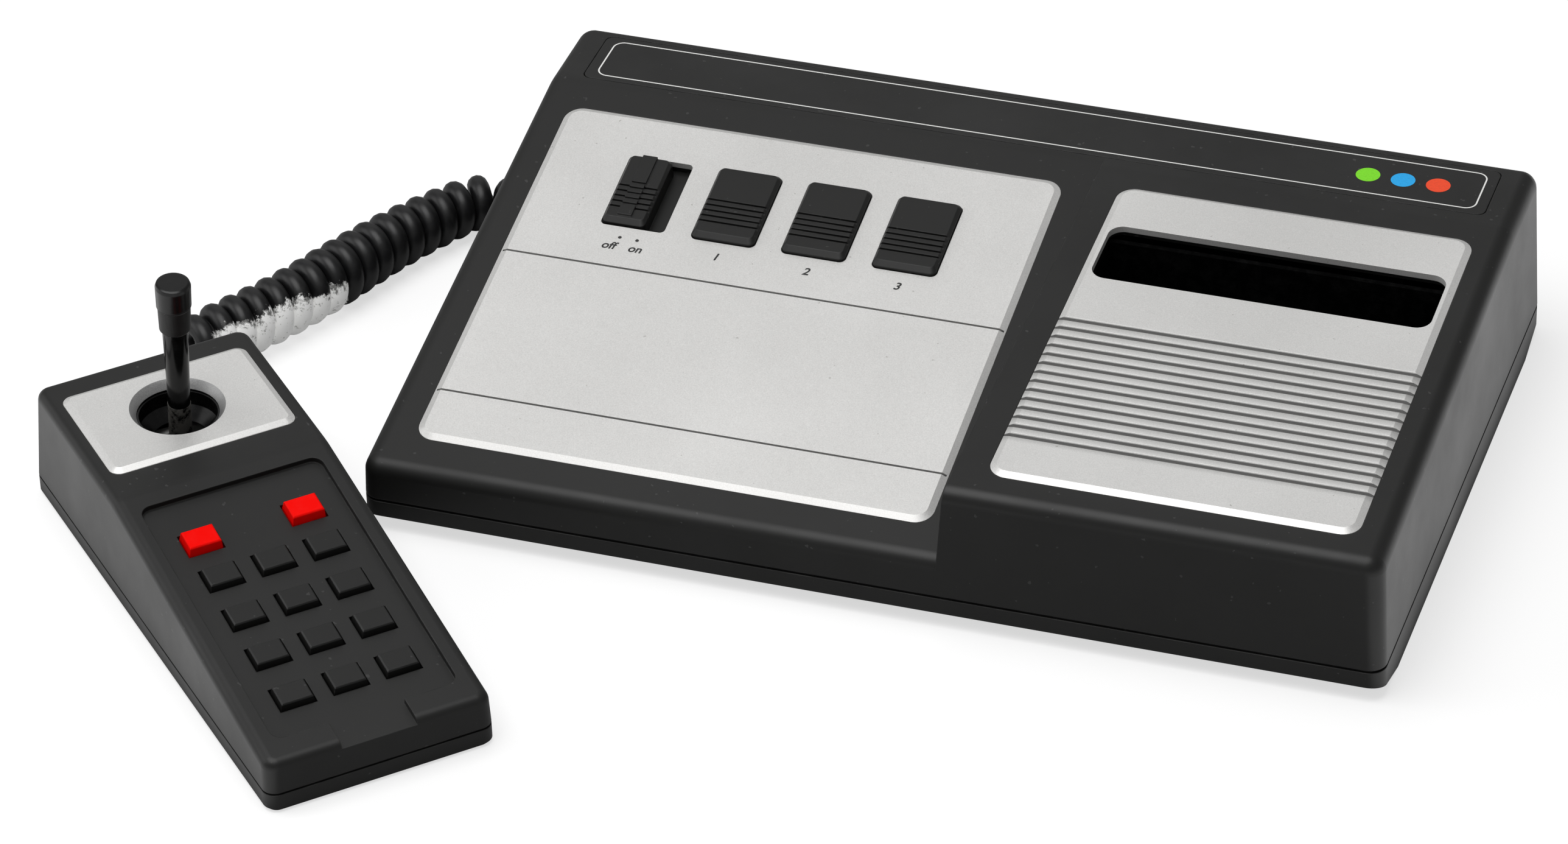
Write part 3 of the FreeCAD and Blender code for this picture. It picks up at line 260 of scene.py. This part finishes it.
def stretched(tree, place, scale):
    """The place with its axes scaled, so that noise there is drawn out along the smallest."""
    made = tree.nodes.new("ShaderNodeMapping")
    made.inputs["Scale"].default_value = scale
    tree.links.new(place, made.inputs["Vector"])
    return made.outputs["Vector"]


def along(tree, place, start, direction):
    """How far a place lies from the start in one direction, in metres."""
    return vector_node(tree, "DOT_PRODUCT", vector_node(tree, "SUBTRACT", place, start, "Vector"),
                       direction, "Value")


def soft_edge(tree, radius_mm):
    """A normal rounded over sharp edges, and a mask that is 1 on those edges."""
    round_over = tree.nodes.new("ShaderNodeBevel")
    round_over.samples = 4
    round_over.inputs["Radius"].default_value = radius_mm * MM
    geometry = tree.nodes.new("ShaderNodeNewGeometry")
    normal = round_over.outputs["Normal"]
    alike = vector_node(tree, "DOT_PRODUCT", normal, geometry.outputs["Normal"], "Value")
    return normal, ramp(tree, alike, 0.99, 0.85)


def specks(tree, place, scale, rarity, most):
    """A mask of scattered specks: the higher the rarity, the fewer there are."""
    return ramp(tree, noise(tree, place, scale, 2.0, 0.4), rarity, rarity + SPECK_EDGE, 0.0, most)


def add_bump(tree, surface, height, strength, depth_mm, normal=None):
    made = tree.nodes.new("ShaderNodeBump")
    made.inputs["Strength"].default_value = strength
    made.inputs["Distance"].default_value = depth_mm * MM
    tree.links.new(height, made.inputs["Height"])
    if normal:
        tree.links.new(normal, made.inputs["Normal"])
    tree.links.new(made.outputs["Normal"], surface.inputs["Normal"])


def plastic(name, colour, smudge, rough, grain_mm, grain_depth, edge_mm=0.35, worn=None, specular=0.5):
    """Moulded plastic: fine grain, slightly uneven sheen, rubbed areas and softer, paler edges."""
    material, tree, surface, place = new_material(name)
    grain = noise(tree, place, 1000 / grain_mm, 3.0, 0.6)
    patches = noise(tree, place, 22.0, 4.0, 0.6)
    normal, edge = soft_edge(tree, edge_mm)
    base = blend_colours(tree, ramp(tree, patches, 0.35, 0.72), colour, smudge)
    if worn:
        rubbed = math_node(tree, "MULTIPLY", edge, ramp(tree, noise(tree, place, 160.0, 3.0), 0.4, 0.65))
        base = blend_colours(tree, rubbed, base, worn)
    dust = specks(tree, place, 520.0, 0.735, 0.5)
    base = blend_colours(tree, dust, base, tuple(0.05 + 2 * c for c in colour))
    tree.links.new(base, surface.inputs["Base Color"])
    tree.links.new(ramp(tree, patches, 0.3, 0.7, rough + 0.05, rough - 0.05), surface.inputs["Roughness"])
    surface.inputs["Specular IOR Level"].default_value = specular
    add_bump(tree, surface, grain, 0.5, grain_depth, normal)
    return material


def rib_painted_shade(tree, place, base):
    """Painted shade: darkens the wall of each cross rib, which lies in shade, and a little of the paint in
    front of it.
    """
    climb = along(tree, place, RIB_FIRST_AT, RIB_UP)
    pitches = math_node(tree, "DIVIDE", climb, RIB_PITCH * MM)
    phase = math_node(tree, "FRACT", pitches)
    shade = math_node(tree, "MULTIPLY", ramp(tree, phase, *RIB_WALL), ramp(tree, phase, *RIB_FRONT))
    start, stop = RIB_ZONE
    before = ramp(tree, pitches, start + RIB_ZONE_EDGE, start - RIB_ZONE_EDGE)
    after = ramp(tree, pitches, stop - RIB_ZONE_EDGE, stop + RIB_ZONE_EDGE)
    shade = math_node(tree, "MAXIMUM", shade, math_node(tree, "MAXIMUM", before, after))
    return blend_colours(tree, shade, RIB_SHADOW, base)


def silver_paint(name, edge_mm, shade_low, shade_high, ribs=False):
    """Silver paint on a moulded panel: metallic speckle, faint clouds and paint worn off the edges, shown
    paler than the silver as a painted highlight.
    """
    material, tree, surface, place = new_material(name)
    speckle = noise(tree, place, 2600.0, 2.0, 0.7)
    clouds = noise(tree, place, 14.0, 3.0, 0.5)
    normal, edge = soft_edge(tree, edge_mm)
    shade = math_node(tree, "ADD", math_node(tree, "MULTIPLY", speckle, 0.6),
                      math_node(tree, "MULTIPLY", clouds, 0.4))
    base = blend_colours(tree, ramp(tree, shade, 0.35, 0.65), shade_low, shade_high)
    # Spots along the edges where paint is worn, painted paler as an edge highlight
    worn_chips_and_highlight = math_node(tree, "MULTIPLY", edge, ramp(tree, noise(tree, place, 420.0, 4.0, 0.7), 0.52, 0.6))
    base = blend_colours(tree, worn_chips_and_highlight, base, (0.90, 0.89, 0.84))
    base = blend_colours(tree, specks(tree, place, 560.0, 0.765, 0.35), base, (0.16, 0.14, 0.11))
    # Painted shade on the ribs' walls and on the paint in front of them
    if ribs:
        base = rib_painted_shade(tree, place, base)
    tree.links.new(base, surface.inputs["Base Color"])
    surface.inputs["Metallic"].default_value = 0.45
    tree.links.new(ramp(tree, speckle, 0.3, 0.7, 0.34, 0.48), surface.inputs["Roughness"])
    add_bump(tree, surface, speckle, 0.35, 0.02, normal)
    return material


def gloss(name, colour, rough, scuff=0.12, specular=0.5, edge_mm=0.3):
    """Smooth moulded plastic with faint scuffs that only show in its shine."""
    material, tree, surface, place = new_material(name)
    marks = noise(tree, place, 260.0, 6.0, 0.75)
    normal = soft_edge(tree, edge_mm)[0]
    paler = tuple(min(1.0, c * 1.25 + 0.004) for c in colour)
    tree.links.new(blend_colours(tree, ramp(tree, marks, 0.45, 0.7), colour, paler),
                   surface.inputs["Base Color"])
    tree.links.new(ramp(tree, marks, 0.4, 0.75, rough, rough + scuff), surface.inputs["Roughness"])
    surface.inputs["Specular IOR Level"].default_value = specular
    add_bump(tree, surface, marks, 0.15, 0.01, normal)
    return material


def finger_cap():
    """The cap's upper band is smooth, and fine lines run down its lower one."""
    material, tree, surface, place = new_material("finger_cap")
    split = tree.nodes.new("ShaderNodeSeparateXYZ")
    tree.links.new(place, split.inputs["Vector"])
    lower = ramp(tree, split.outputs["Z"], CAP_STEP_Z * MM, (CAP_STEP_Z - 0.5) * MM)
    lines = noise(tree, stretched(tree, place, (1.0, 1.0, 0.03)), 1500.0)
    marks = noise(tree, place, 400.0, 5.0, 0.7)
    normal = soft_edge(tree, 0.4)[0]
    base = blend_colours(tree, ramp(tree, marks, 0.5, 0.75), (0.004, 0.004, 0.004), (0.008, 0.008, 0.0075))
    surface.inputs["Specular IOR Level"].default_value = 0.34
    tree.links.new(base, surface.inputs["Base Color"])
    tree.links.new(ramp(tree, lower, 0.0, 1.0, 0.27, 0.46), surface.inputs["Roughness"])
    add_bump(tree, surface, math_node(tree, "MULTIPLY", lines, lower), 0.6, 0.08, normal)
    return material


def scuffed_collar():
    """The rod's lower end: dull brownish scuffs over glossy black."""
    material, tree, surface, place = new_material("scuffed_collar")
    patches = noise(tree, place, 210.0, 4.0, 0.65)
    fine = noise(tree, place, 1400.0, 3.0, 0.7)
    mottle = math_node(tree, "ADD", patches, math_node(tree, "MULTIPLY", fine, 0.35))
    dull = ramp(tree, mottle, 0.60, 0.74)
    base = blend_colours(tree, dull, (0.004, 0.004, 0.004), (0.075, 0.072, 0.066))
    tree.links.new(base, surface.inputs["Base Color"])
    tree.links.new(ramp(tree, dull, 0.0, 1.0, 0.16, 0.5), surface.inputs["Roughness"])
    surface.inputs["Specular IOR Level"].default_value = 0.4
    add_bump(tree, surface, mottle, 0.4, 0.04)
    return material


def metal(name, colour, rough, brushed_axis=None):
    """Bare metal with faint streaks, drawn out along the axis in which it was brushed or rolled."""
    material, tree, surface, place = new_material(name)
    if brushed_axis is not None:
        place = stretched(tree, place, [1.0 if i == brushed_axis else 14.0 for i in range(3)])
    streaks = noise(tree, place, 180.0, 4.0, 0.6)
    darker = tuple(c * 0.8 for c in colour)
    tree.links.new(blend_colours(tree, streaks, darker, colour), surface.inputs["Base Color"])
    surface.inputs["Metallic"].default_value = 1.0
    tree.links.new(ramp(tree, streaks, 0.3, 0.7, rough, rough + 0.15), surface.inputs["Roughness"])
    add_bump(tree, surface, streaks, 0.2, 0.02)
    return material


def board_lacquer():
    """Circuit board: green lacquer over a grid of tracks."""
    material, tree, surface, place = new_material("board_lacquer")
    cells = tree.nodes.new("ShaderNodeTexBrick")
    cells.inputs["Scale"].default_value = 60.0
    cells.inputs["Mortar Size"].default_value = 0.06
    cells.inputs["Color1"].default_value = (0.02, 0.16, 0.06, 1)
    cells.inputs["Color2"].default_value = (0.03, 0.19, 0.08, 1)
    cells.inputs["Mortar"].default_value = (0.06, 0.30, 0.12, 1)
    tree.links.new(place, cells.inputs["Vector"])
    tree.links.new(cells.outputs["Color"], surface.inputs["Base Color"])
    tree.links.new(ramp(tree, noise(tree, place, 90.0), 0.3, 0.7, 0.25, 0.4), surface.inputs["Roughness"])
    add_bump(tree, surface, cells.outputs["Fac"], 0.3, 0.05)
    return material


def cord_sheath():
    """Satin black sheath, with flaky pale paint rubbed along one side of the curls by the controller; the
    paint glows a little, as painted light.
    """
    material, tree, surface, place = new_material("cord_sheath")
    marks = noise(tree, place, 300.0, 5.0, 0.7)
    flakes = noise(tree, place, 130.0, 8.0, 0.76)
    reach = math_node(tree, "ADD", along(tree, place, PAINT_AT, PAINT_ALONG),
                      ramp(tree, flakes, 0.3, 0.7, -1.2 * MM, 1.2 * MM))
    near, far = PAINT_REACH
    stretch = math_node(tree, "MULTIPLY", ramp(tree, reach, near * MM, (near + 1) * MM),
                        ramp(tree, reach, far * MM, (far - 0.5) * MM))
    depth = math_node(tree, "ADD", along(tree, place, PAINT_AT, PAINT_SIDE),
                      ramp(tree, flakes, 0.3, 0.7, -3.6 * MM, 3.2 * MM))
    cover = math_node(tree, "MULTIPLY", stretch, ramp(tree, depth, -0.1 * MM, 0.15 * MM))
    thin = ramp(tree, depth, 3.5 * MM, 0.2 * MM)
    rubbed = ramp(tree, math_node(tree, "ADD", noise(tree, place, 620.0, 6.0, 0.75),
                                  math_node(tree, "MULTIPLY", thin, 0.16)), 0.56, 0.70)
    paint = blend_colours(tree, rubbed, (0.90, 0.90, 0.89), (0.16, 0.16, 0.155))
    base = blend_colours(tree, ramp(tree, marks, 0.5, 0.7), (0.0065, 0.0065, 0.007), (0.011, 0.011, 0.0115))
    base = blend_colours(tree, cover, base, paint)
    tree.links.new(base, surface.inputs["Base Color"])
    sheen = math_node(tree, "ADD", ramp(tree, marks, 0.4, 0.8, 0.36, 0.46),
                      math_node(tree, "MULTIPLY", cover, 0.3))
    tree.links.new(sheen, surface.inputs["Roughness"])
    surface.inputs["Specular IOR Level"].default_value = 0.4
    # The paint glows a little: painted light
    tree.links.new(paint, surface.inputs["Emission Color"])
    tree.links.new(math_node(tree, "MULTIPLY", cover, PAINT_LIGHT_GLOW), surface.inputs["Emission Strength"])
    lift = math_node(tree, "ADD", math_node(tree, "MULTIPLY", marks, 0.08), cover)
    add_bump(tree, surface, lift, 0.5, 0.15)
    return material


def print_ink(name, colour):
    """Screen-printed ink with slightly broken cover."""
    material, tree, surface, place = new_material(name)
    cover = noise(tree, place, 2200.0, 3.0)
    thin = tuple(c * 0.86 for c in colour)
    tree.links.new(blend_colours(tree, ramp(tree, cover, 0.3, 0.5), thin, colour),
                   surface.inputs["Base Color"])
    surface.inputs["Roughness"].default_value = 0.5
    add_bump(tree, surface, cover, 0.2, 0.01)
    return material


# Materials. Plastics: colour, smudge colour, roughness, then the grain's size and depth in millimetres
CASING = plastic("casing_black", (0.0085, 0.0085, 0.008), (0.0125, 0.0125, 0.012), 0.44, 0.55, 0.022,
                 edge_mm=0.45, worn=(0.05, 0.05, 0.048), specular=0.38)
KEY_BLACK = plastic("key_black", (0.0075, 0.0075, 0.007), (0.010, 0.010, 0.0095), 0.40, 0.5, 0.015,
                    worn=(0.04, 0.04, 0.04), specular=0.36)
DARK = plastic("inner_black", (0.008, 0.008, 0.008), (0.011, 0.011, 0.011), 0.5, 0.6, 0.02)
SILVER = silver_paint("silver_panel", 0.12, (0.655, 0.65, 0.635), (0.81, 0.805, 0.79))
RIBBED_SILVER = silver_paint("ribbed_silver", 0.16, (0.68, 0.675, 0.66), (0.84, 0.835, 0.82), ribs=True)
PLATE_SILVER = silver_paint("plate_silver", 0.1, (0.70, 0.695, 0.68), (0.87, 0.865, 0.85))
# The countersink's wall: the plate's silver, darker as painted shade
SINK_SILVER_SHADED = silver_paint("sink_silver_painted_shade", 0.1, (0.30, 0.30, 0.30), (0.46, 0.46, 0.455))
RED = gloss("button_red", (1.0, 0.002, 0.0005), 0.34, specular=0.05, edge_mm=0.6)
BLACK_GLOSS = gloss("gloss_black", (0.002, 0.002, 0.002), 0.12, scuff=0.06, specular=0.3)
DISH_BLACK = gloss("dish_black", (0.002, 0.002, 0.002), 0.22, specular=0.22)
SLOT_BLACK = gloss("slot_black", (0.001, 0.001, 0.001), 0.6, specular=0.02)
CAP_BLACK = finger_cap()
GREY = plastic("grey_moulding", (0.30, 0.30, 0.29), (0.40, 0.40, 0.39), 0.45, 0.5, 0.02)
COLLAR = scuffed_collar()
RUBBER = plastic("gland_rubber", (0.012, 0.012, 0.012), (0.02, 0.02, 0.02), 0.6, 0.5, 0.03)
CONTACT = plastic("contact_rubber", (0.16, 0.16, 0.165), (0.2, 0.2, 0.2), 0.65, 0.6, 0.02)
BLUE = plastic("blue_moulding", (0.02, 0.07, 0.24), (0.03, 0.09, 0.28), 0.4, 0.5, 0.02)
CHIP = plastic("chip_black", (0.012, 0.012, 0.012), (0.02, 0.02, 0.02), 0.6, 0.3, 0.03)
CONNECTOR = plastic("connector_green", (0.015, 0.05, 0.04), (0.02, 0.065, 0.05), 0.45, 0.5, 0.02)
CAN = plastic("capacitor_sleeve", (0.01, 0.02, 0.07), (0.015, 0.03, 0.09), 0.3, 0.8, 0.01)
TIN = metal("tinned_steel", (0.62, 0.61, 0.58), 0.35, 0)
ALUMINIUM = metal("bare_aluminium", (0.72, 0.72, 0.73), 0.35, 2)
SCREW = metal("screw_steel", (0.55, 0.55, 0.56), 0.3)
BOARD = board_lacquer()
SHEATH = cord_sheath()
WHITE_INK = print_ink("white_ink", (0.86, 0.86, 0.84))
BLACK_INK = print_ink("black_ink", (0.02, 0.02, 0.02))
GREEN_INK = print_ink("green_ink", (0.22, 0.80, 0.012))
BLUE_INK = print_ink("blue_ink", (0.010, 0.42, 0.90))
ORANGE_INK = print_ink("orange_ink", (0.95, 0.07, 0.012))

NODE_MATERIALS = {
    "upper_casing": CASING, "lower_tray": CASING, "handset_upper_shell": CASING,
    "handset_lower_shell": CASING, "header_plate": CASING, "control_panel": SILVER,
    "cartridge_panel": RIBBED_SILVER, "joystick_plate": PLATE_SILVER, "power_slide_knob": KEY_BLACK,
    "switch_board": BOARD, "key_switches": DARK, "power_switch": TIN, "cartridge_guide": SLOT_BLACK,
    "cartridge_connector": CONNECTOR, "main_board": BOARD, "board_chips": CHIP, "capacitors": CAN,
    "heat_sink": ALUMINIUM, "rf_modulator": TIN, "power_socket": DARK, "casing_screws": SCREW,
    "console_cord_gland": RUBBER, "joystick_bowl": DISH_BLACK, "stick_yoke": GREY, "stick_ring": GREY,
    "stick_rod": COLLAR, "stick_sleeve": BLACK_GLOSS, "stick_cap": CAP_BLACK,
    "potentiometer_side": BLUE, "potentiometer_front": BLUE, "keypad_sheet": CONTACT,
    "keypad_board": BOARD, "handset_screws": SCREW, "handset_cord_gland": RUBBER, "curly_cord": SHEATH,
    "fire_button_left": RED, "fire_button_right": RED,
}


def dress_nodes():
    """Gives each solid its material: what isn't in the table is a key."""
    for name, node in NODES.items():
        material = NODE_MATERIALS.get(name, KEY_BLACK)
        node.data.materials.clear()
        node.data.materials.append(material)


# Curly cord
def route_points():
    """The route's smooth line on the floor, as points read from its spline, in millimetres."""
    curve = bpy.data.curves.new("cord_route", "CURVE")
    curve.dimensions = "3D"
    curve.resolution_u = 24
    spline = curve.splines.new("NURBS")
    spline.points.add(len(CORD_ROUTE) - 1)
    for point, (x, y) in zip(spline.points, CORD_ROUTE):
        point.co = (x, y, 0, 1)
    spline.order_u = 3
    spline.use_endpoint_u = True
    holder = bpy.data.objects.new("cord_route", curve)
    line = bpy.data.meshes.new_from_object(holder)
    points = [v.co.copy() for v in line.vertices]
    bpy.data.objects.remove(holder)
    bpy.data.meshes.remove(line)
    return points


def even_line(points, steps):
    """The line's length, and evenly spaced places on it with the direction to their left."""
    reach = [0.0]
    for a, b in zip(points, points[1:]):
        reach.append(reach[-1] + (b - a).length)
    made = []
    k = 0
    for i in range(steps + 1):
        s = reach[-1] * i / steps
        while k < len(reach) - 2 and reach[k + 1] < s:
            k += 1
        at = points[k].lerp(points[k + 1], (s - reach[k]) / (reach[k + 1] - reach[k]))
        ahead = points[min(k + 2, len(points) - 1)] - points[max(k - 1, 0)]
        made.append((at, Vector((-ahead.y, ahead.x, 0)).normalized()))
    return reach[-1], made


def curl_radius(s):
    """From the middle of the curls to the middle of the wire, at s along the route."""
    for (s0, r0), (s1, r1) in zip(CURL_RADII, CURL_RADII[1:]):
        if s < s1:
            break
    return r0 + (r1 - r0) * min(1.0, (s - s0) / (s1 - s0)) - WIRE_D / 2


def curl_height(s):
    """The height of the middle of the curls, whose lowest points just clear the floor."""
    return curl_radius(s) + WIRE_D / 2 + FLOOR_PLAY


def curl_rate(s, length, bend):
    """How fast the wire winds: not in the tail, slow at both ends, and slower in a bend."""
    steepest = math.sin(math.atan(2 * math.pi * curl_radius(s) / CURL_PITCH))
    eased = min(1.0, max(0.0, s - CURL_TAIL) / CURL_EASE, (length - s) / CURL_EASE)
    return math.tan(math.asin(steepest * eased)) * (1 - curl_radius(s) * bend) / curl_radius(s)


def curl_line():
    """The wire's centre line in metres: straight, wound round the route, and straight."""
    steps = CURL_TURNS * CURL_POINTS * FINE_STEPS
    length, places = even_line(route_points(), steps)
    step = length / steps
    rates = []
    for i in range(steps):
        before, after = places[max(i - 1, 0)][1], places[i + 1][1]
        bend = (after - before).length / (step * (1 if i == 0 else 2))
        rates.append(curl_rate(step * (i + 0.5), length, bend))
    first = math.asin((HAND_SEAM_Z - curl_height(0)) / curl_radius(0))
    last = math.asin((CASE_SEAM_Z - curl_height(length)) / curl_radius(length))
    whole = 2 * math.pi * CURL_TURNS + first - last
    total = sum(rates)
    wound = 0.0
    taken_s, taken_wound = -TAIL_POINT, -1.0
    line = []
    for i, (at, side) in enumerate(places):
        s = step * i
        turned = wound - taken_wound > 2 * math.pi / CURL_POINTS
        if turned or s - taken_s > TAIL_POINT or i == steps:
            taken_s, taken_wound = s, wound
            angle = first - wound
            radius = curl_radius(s)
            lift = Vector((0, 0, curl_height(s) + radius * math.sin(angle)))
            line.append((at + side * (radius * math.cos(angle)) + lift) * MM)
        if i < steps:
            wound += whole * rates[i] / total
    out = Vector((-math.sin(math.radians(HAND_TURN)), math.cos(math.radians(HAND_TURN)), 0))
    start = [line[0] - out * (CORD_STRAIGHT * MM * part) for part in (1.0, 0.5)]
    stop = [line[-1] + Vector((CORD_STRAIGHT * MM * part, 0, 0)) for part in (0.5, 1.0)]
    return start + line + stop


def curly_cord():
    """The sheath of the whole cord, drawn as one smooth curve through the points of its centre line."""
    line = curl_line()
    curve = bpy.data.curves.new("curly_cord_sheath", "CURVE")
    curve.dimensions = "3D"
    curve.resolution_u = 3
    curve.bevel_depth = WIRE_D / 2 * MM
    curve.bevel_resolution = 5
    curve.use_fill_caps = True
    spline = curve.splines.new("NURBS")
    spline.points.add(len(line) - 1)
    for point, at in zip(spline.points, line):
        point.co = (*at, 1)
    spline.order_u = 3
    spline.use_endpoint_u = True
    spline.use_smooth = True
    curve.materials.append(SHEATH)
    cord = add_object("curly_cord_sheath", curve)
    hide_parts("curly_cord")


# Mesh pieces
def corner_loop(x0, x1, y0, y1, r, steps=8):
    """The points of a rectangle with rounded corners, anticlockwise, in millimetres."""
    points = []
    for cx, cy, start in ((x1 - r, y0 + r, -90), (x1 - r, y1 - r, 0), (x0 + r, y1 - r, 90),
                          (x0 + r, y0 + r, 180)):
        for i in range(steps + 1):
            turn = math.radians(start + 90 * i / steps)
            points.append((cx + r * math.cos(turn), cy + r * math.sin(turn)))
    return points


def circle(x, y, r, steps):
    """The points of a circle, anticlockwise, in millimetres."""
    turns = [2 * math.pi * i / steps for i in range(steps)]
    return [(x + r * math.cos(turn), y + r * math.sin(turn)) for turn in turns]


def face_mesh(name, face, build, height_mm, material):
    """A mesh that build fills in millimetres on a face, which is then placed at a height over it."""
    made = bmesh.new()
    build(made)
    bmesh.ops.transform(made, matrix=face @ Matrix.Scale(MM, 4) @ Matrix.Translation((0, 0, height_mm)),
                        verts=made.verts)
    data = bpy.data.meshes.new(name)
    made.to_mesh(data)
    made.free()
    data.materials.append(material)
    return add_object(name, data)


def line_frame(x0, x1, y0, y1, r, width):
    """A closed line with rounded corners, drawn inwards from its outer edge."""
    def build(made):
        outer = [made.verts.new((*p, 0)) for p in corner_loop(x0, x1, y0, y1, r)]
        inner = [made.verts.new((*p, 0)) for p in corner_loop(x0 + width, x1 - width, y0 + width,
                                                              y1 - width, r - width)]
        for i in range(len(outer)):
            made.faces.new((outer[i - 1], outer[i], inner[i], inner[i - 1]))
    return build


def disc(x, y, r, steps=32):
    def build(made):
        made.faces.new([made.verts.new((*p, 0)) for p in circle(x, y, r, steps)])
    return build


def strip(x0, x1, y, width):
    """A straight line across a face."""
    def build(made):
        made.faces.new([made.verts.new((x, y + side * width / 2, 0))
                        for x, side in ((x0, -1), (x1, -1), (x1, 1), (x0, 1))])
    return build


def word(name, text, x, y):
    """A word or number printed on the left panel, centred at x."""
    curve = bpy.data.curves.new(name, "FONT")
    curve.body = text
    curve.size = WORD_SIZE * MM
    curve.align_x = "CENTER"
    curve.offset = WORD_WEIGHT * MM
    curve.shear = WORD_SLANT
    curve.resolution_u = 6
    curve.materials.append(BLACK_INK)
    made = link_object(name, curve)
    made.matrix_world = LEFT_FACE @ Matrix.Translation((x * MM, y * MM, (PANEL_RISE + INK_LIFT) * MM))
    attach(made, "base")


def joystick_plate():
    """The plate with its bevelled sides and a round countersink, whose wall is a darker silver: painted
    shade.
    """
    def build(made):
        def loop(points, z):
            return [made.verts.new((*p, z)) for p in points]
        u0, u1, v0, v1 = PLATE_AREA
        rims = [loop(corner_loop(u0 + i, u1 - i, v0 + i, v1 - i, r), z) for i, r, z in PLATE_RIM]
        hole = [loop(circle(*PLATE_SINK_AT, r, 96), z) for r, z in PLATE_SINK]
        for loops in (rims, hole):
            for low, high in zip(loops, loops[1:]):
                for i in range(len(low)):
                    side = made.faces.new((low[i - 1], low[i], high[i], high[i - 1]))
                    # The hole's wall takes the darker silver, painted shade
                    side.material_index = int(loops is hole)
        for outer, inner in ((rims[-1], hole[0]), (rims[0], hole[-1])):
            edges = [made.edges.get((verts[i - 1], verts[i])) for verts in (outer, inner)
                     for i in range(len(verts))]
            bmesh.ops.triangle_fill(made, use_beauty=True, edges=edges)
        bmesh.ops.recalc_face_normals(made, faces=made.faces)
    plate = face_mesh("joystick_plate_face", STICK_FACE, build, 0, PLATE_SILVER)
    plate.data.materials.append(SINK_SILVER_SHADED)
    for polygon in plate.data.polygons:
        polygon.use_smooth = True
    plate.data.set_sharp_from_angle(angle=math.radians(PLATE_SHARP_DEG))
    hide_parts("joystick_plate")


# Prints
def header_prints():
    face_mesh("header_line", HEADER_FACE, line_frame(*HEADER_FRAME, HEADER_CORNER, HEADER_LINE_W),
              INK_LIFT, WHITE_INK)
    for i, (x, ink) in enumerate(zip(DISC_X, (GREEN_INK, BLUE_INK, ORANGE_INK))):
        face_mesh("header_dot_%d" % (i + 1), HEADER_FACE, disc(x, DISC_Y, DISC_R), INK_LIFT, ink)


def groove_ink():
    """The cross lines of the left panel are dark in their grooves."""
    for name, y in zip(("upper", "lower"), GROOVE_T):
        face_mesh("groove_ink_" + name, LEFT_FACE, strip(*GROOVE_X, y, GROOVE_W), GROOVE_FLOOR, BLACK_INK)


def panel_prints():
    for side, x, y in SWITCH_DOTS:
        face_mesh("switch_dot_" + side, LEFT_FACE, disc(x, y, SWITCH_DOT_R, 20), PANEL_RISE + INK_LIFT,
                  BLACK_INK)
    for text, x in SWITCH_WORDS:
        word("switch_word_" + text, text, x, SWITCH_WORD_Y)
    for text, x in KEY_NUMBERS:
        word("key_number_" + text, text, x, KEY_NUMBER_Y)


# Stage, lights and camera
def pale_floor():
    """A plain pale floor that shows white to the camera and keeps the part's shadow. Beside the two side
    walls it also glows in reflections only: a painted reflection on those walls.
    """
    data = bpy.data.meshes.new("floor")
    half = FLOOR_HALF
    data.from_pydata([(-half, -half, 0), (half, -half, 0), (half, half, 0), (-half, half, 0)], [],
                     [(0, 1, 2, 3)])
    floor = link_object("floor", data)
    material, tree, surface, place = new_material("floor_white")
    surface.inputs["Base Color"].default_value = (FLOOR_TONE, FLOOR_TONE, FLOOR_TONE, 1)
    surface.inputs["Roughness"].default_value = 0.9
    surface.inputs["Specular IOR Level"].default_value = 0.0
    beside = math_node(tree, "MAXIMUM",
                       ramp(tree, along(tree, place, CASE_SIDE_AT, CASE_SIDE_OUT), 0.0, SHINE_EASE),
                       ramp(tree, along(tree, place, HAND_SIDE_AT, HAND_SIDE_OUT), 0.0, SHINE_EASE))
    path = tree.nodes.new("ShaderNodeLightPath")
    # A strip beside each side wall glows to reflections only: a painted reflection on the walls
    shine = math_node(tree, "MULTIPLY", math_node(tree, "MULTIPLY", beside, path.outputs["Is Glossy Ray"]),
                      FLOOR_REFLECTION_GLOW)
    glow = tree.nodes.new("ShaderNodeEmission")
    glow.inputs["Color"].default_value = (1, 1, 1, 1)
    seen = math_node(tree, "MULTIPLY", path.outputs["Is Camera Ray"], FLOOR_GLOW)
    tree.links.new(math_node(tree, "ADD", seen, shine), glow.inputs["Strength"])
    both = tree.nodes.new("ShaderNodeAddShader")
    tree.links.new(surface.outputs["BSDF"], both.inputs[0])
    tree.links.new(glow.outputs["Emission"], both.inputs[1])
    tree.links.new(both.outputs["Shader"], tree.nodes["Material Output"].inputs["Surface"])
    data.materials.append(material)


def area_light(name, at, look, size, power):
    lamp = bpy.data.lights.new(name, "AREA")
    lamp.shape = "RECTANGLE"
    lamp.size, lamp.size_y = size
    lamp.energy = power
    made = link_object(name, lamp)
    made.location = at
    made.rotation_euler = (Vector(look) - Vector(at)).to_track_quat("-Z", "Y").to_euler()


def studio():
    world = bpy.data.worlds.new("studio")
    bpy.context.scene.world = world
    world.use_nodes = True
    sky = world.node_tree.nodes["Background"]
    sky.inputs["Color"].default_value = (1, 1, 1, 1)
    sky.inputs["Strength"].default_value = WORLD_LEVEL
    for lamp in LAMPS:
        area_light(*lamp)


def camera():
    lens = bpy.data.cameras.new("camera")
    lens.sensor_width = SENSOR_MM
    lens.sensor_fit = "HORIZONTAL"
    lens.lens = LENS_MM
    lens.shift_x = FRAME_SHIFT
    made = link_object("camera", lens)
    made.location = CAMERA_AT
    made.rotation_euler = [math.radians(a) for a in CAMERA_TURN]
    bpy.context.scene.camera = made


camera()
dress_nodes()
curly_cord()
joystick_plate()
header_prints()
panel_prints()
groove_ink()
pale_floor()
studio()
bpy.context.scene.view_settings.view_transform = "Standard"
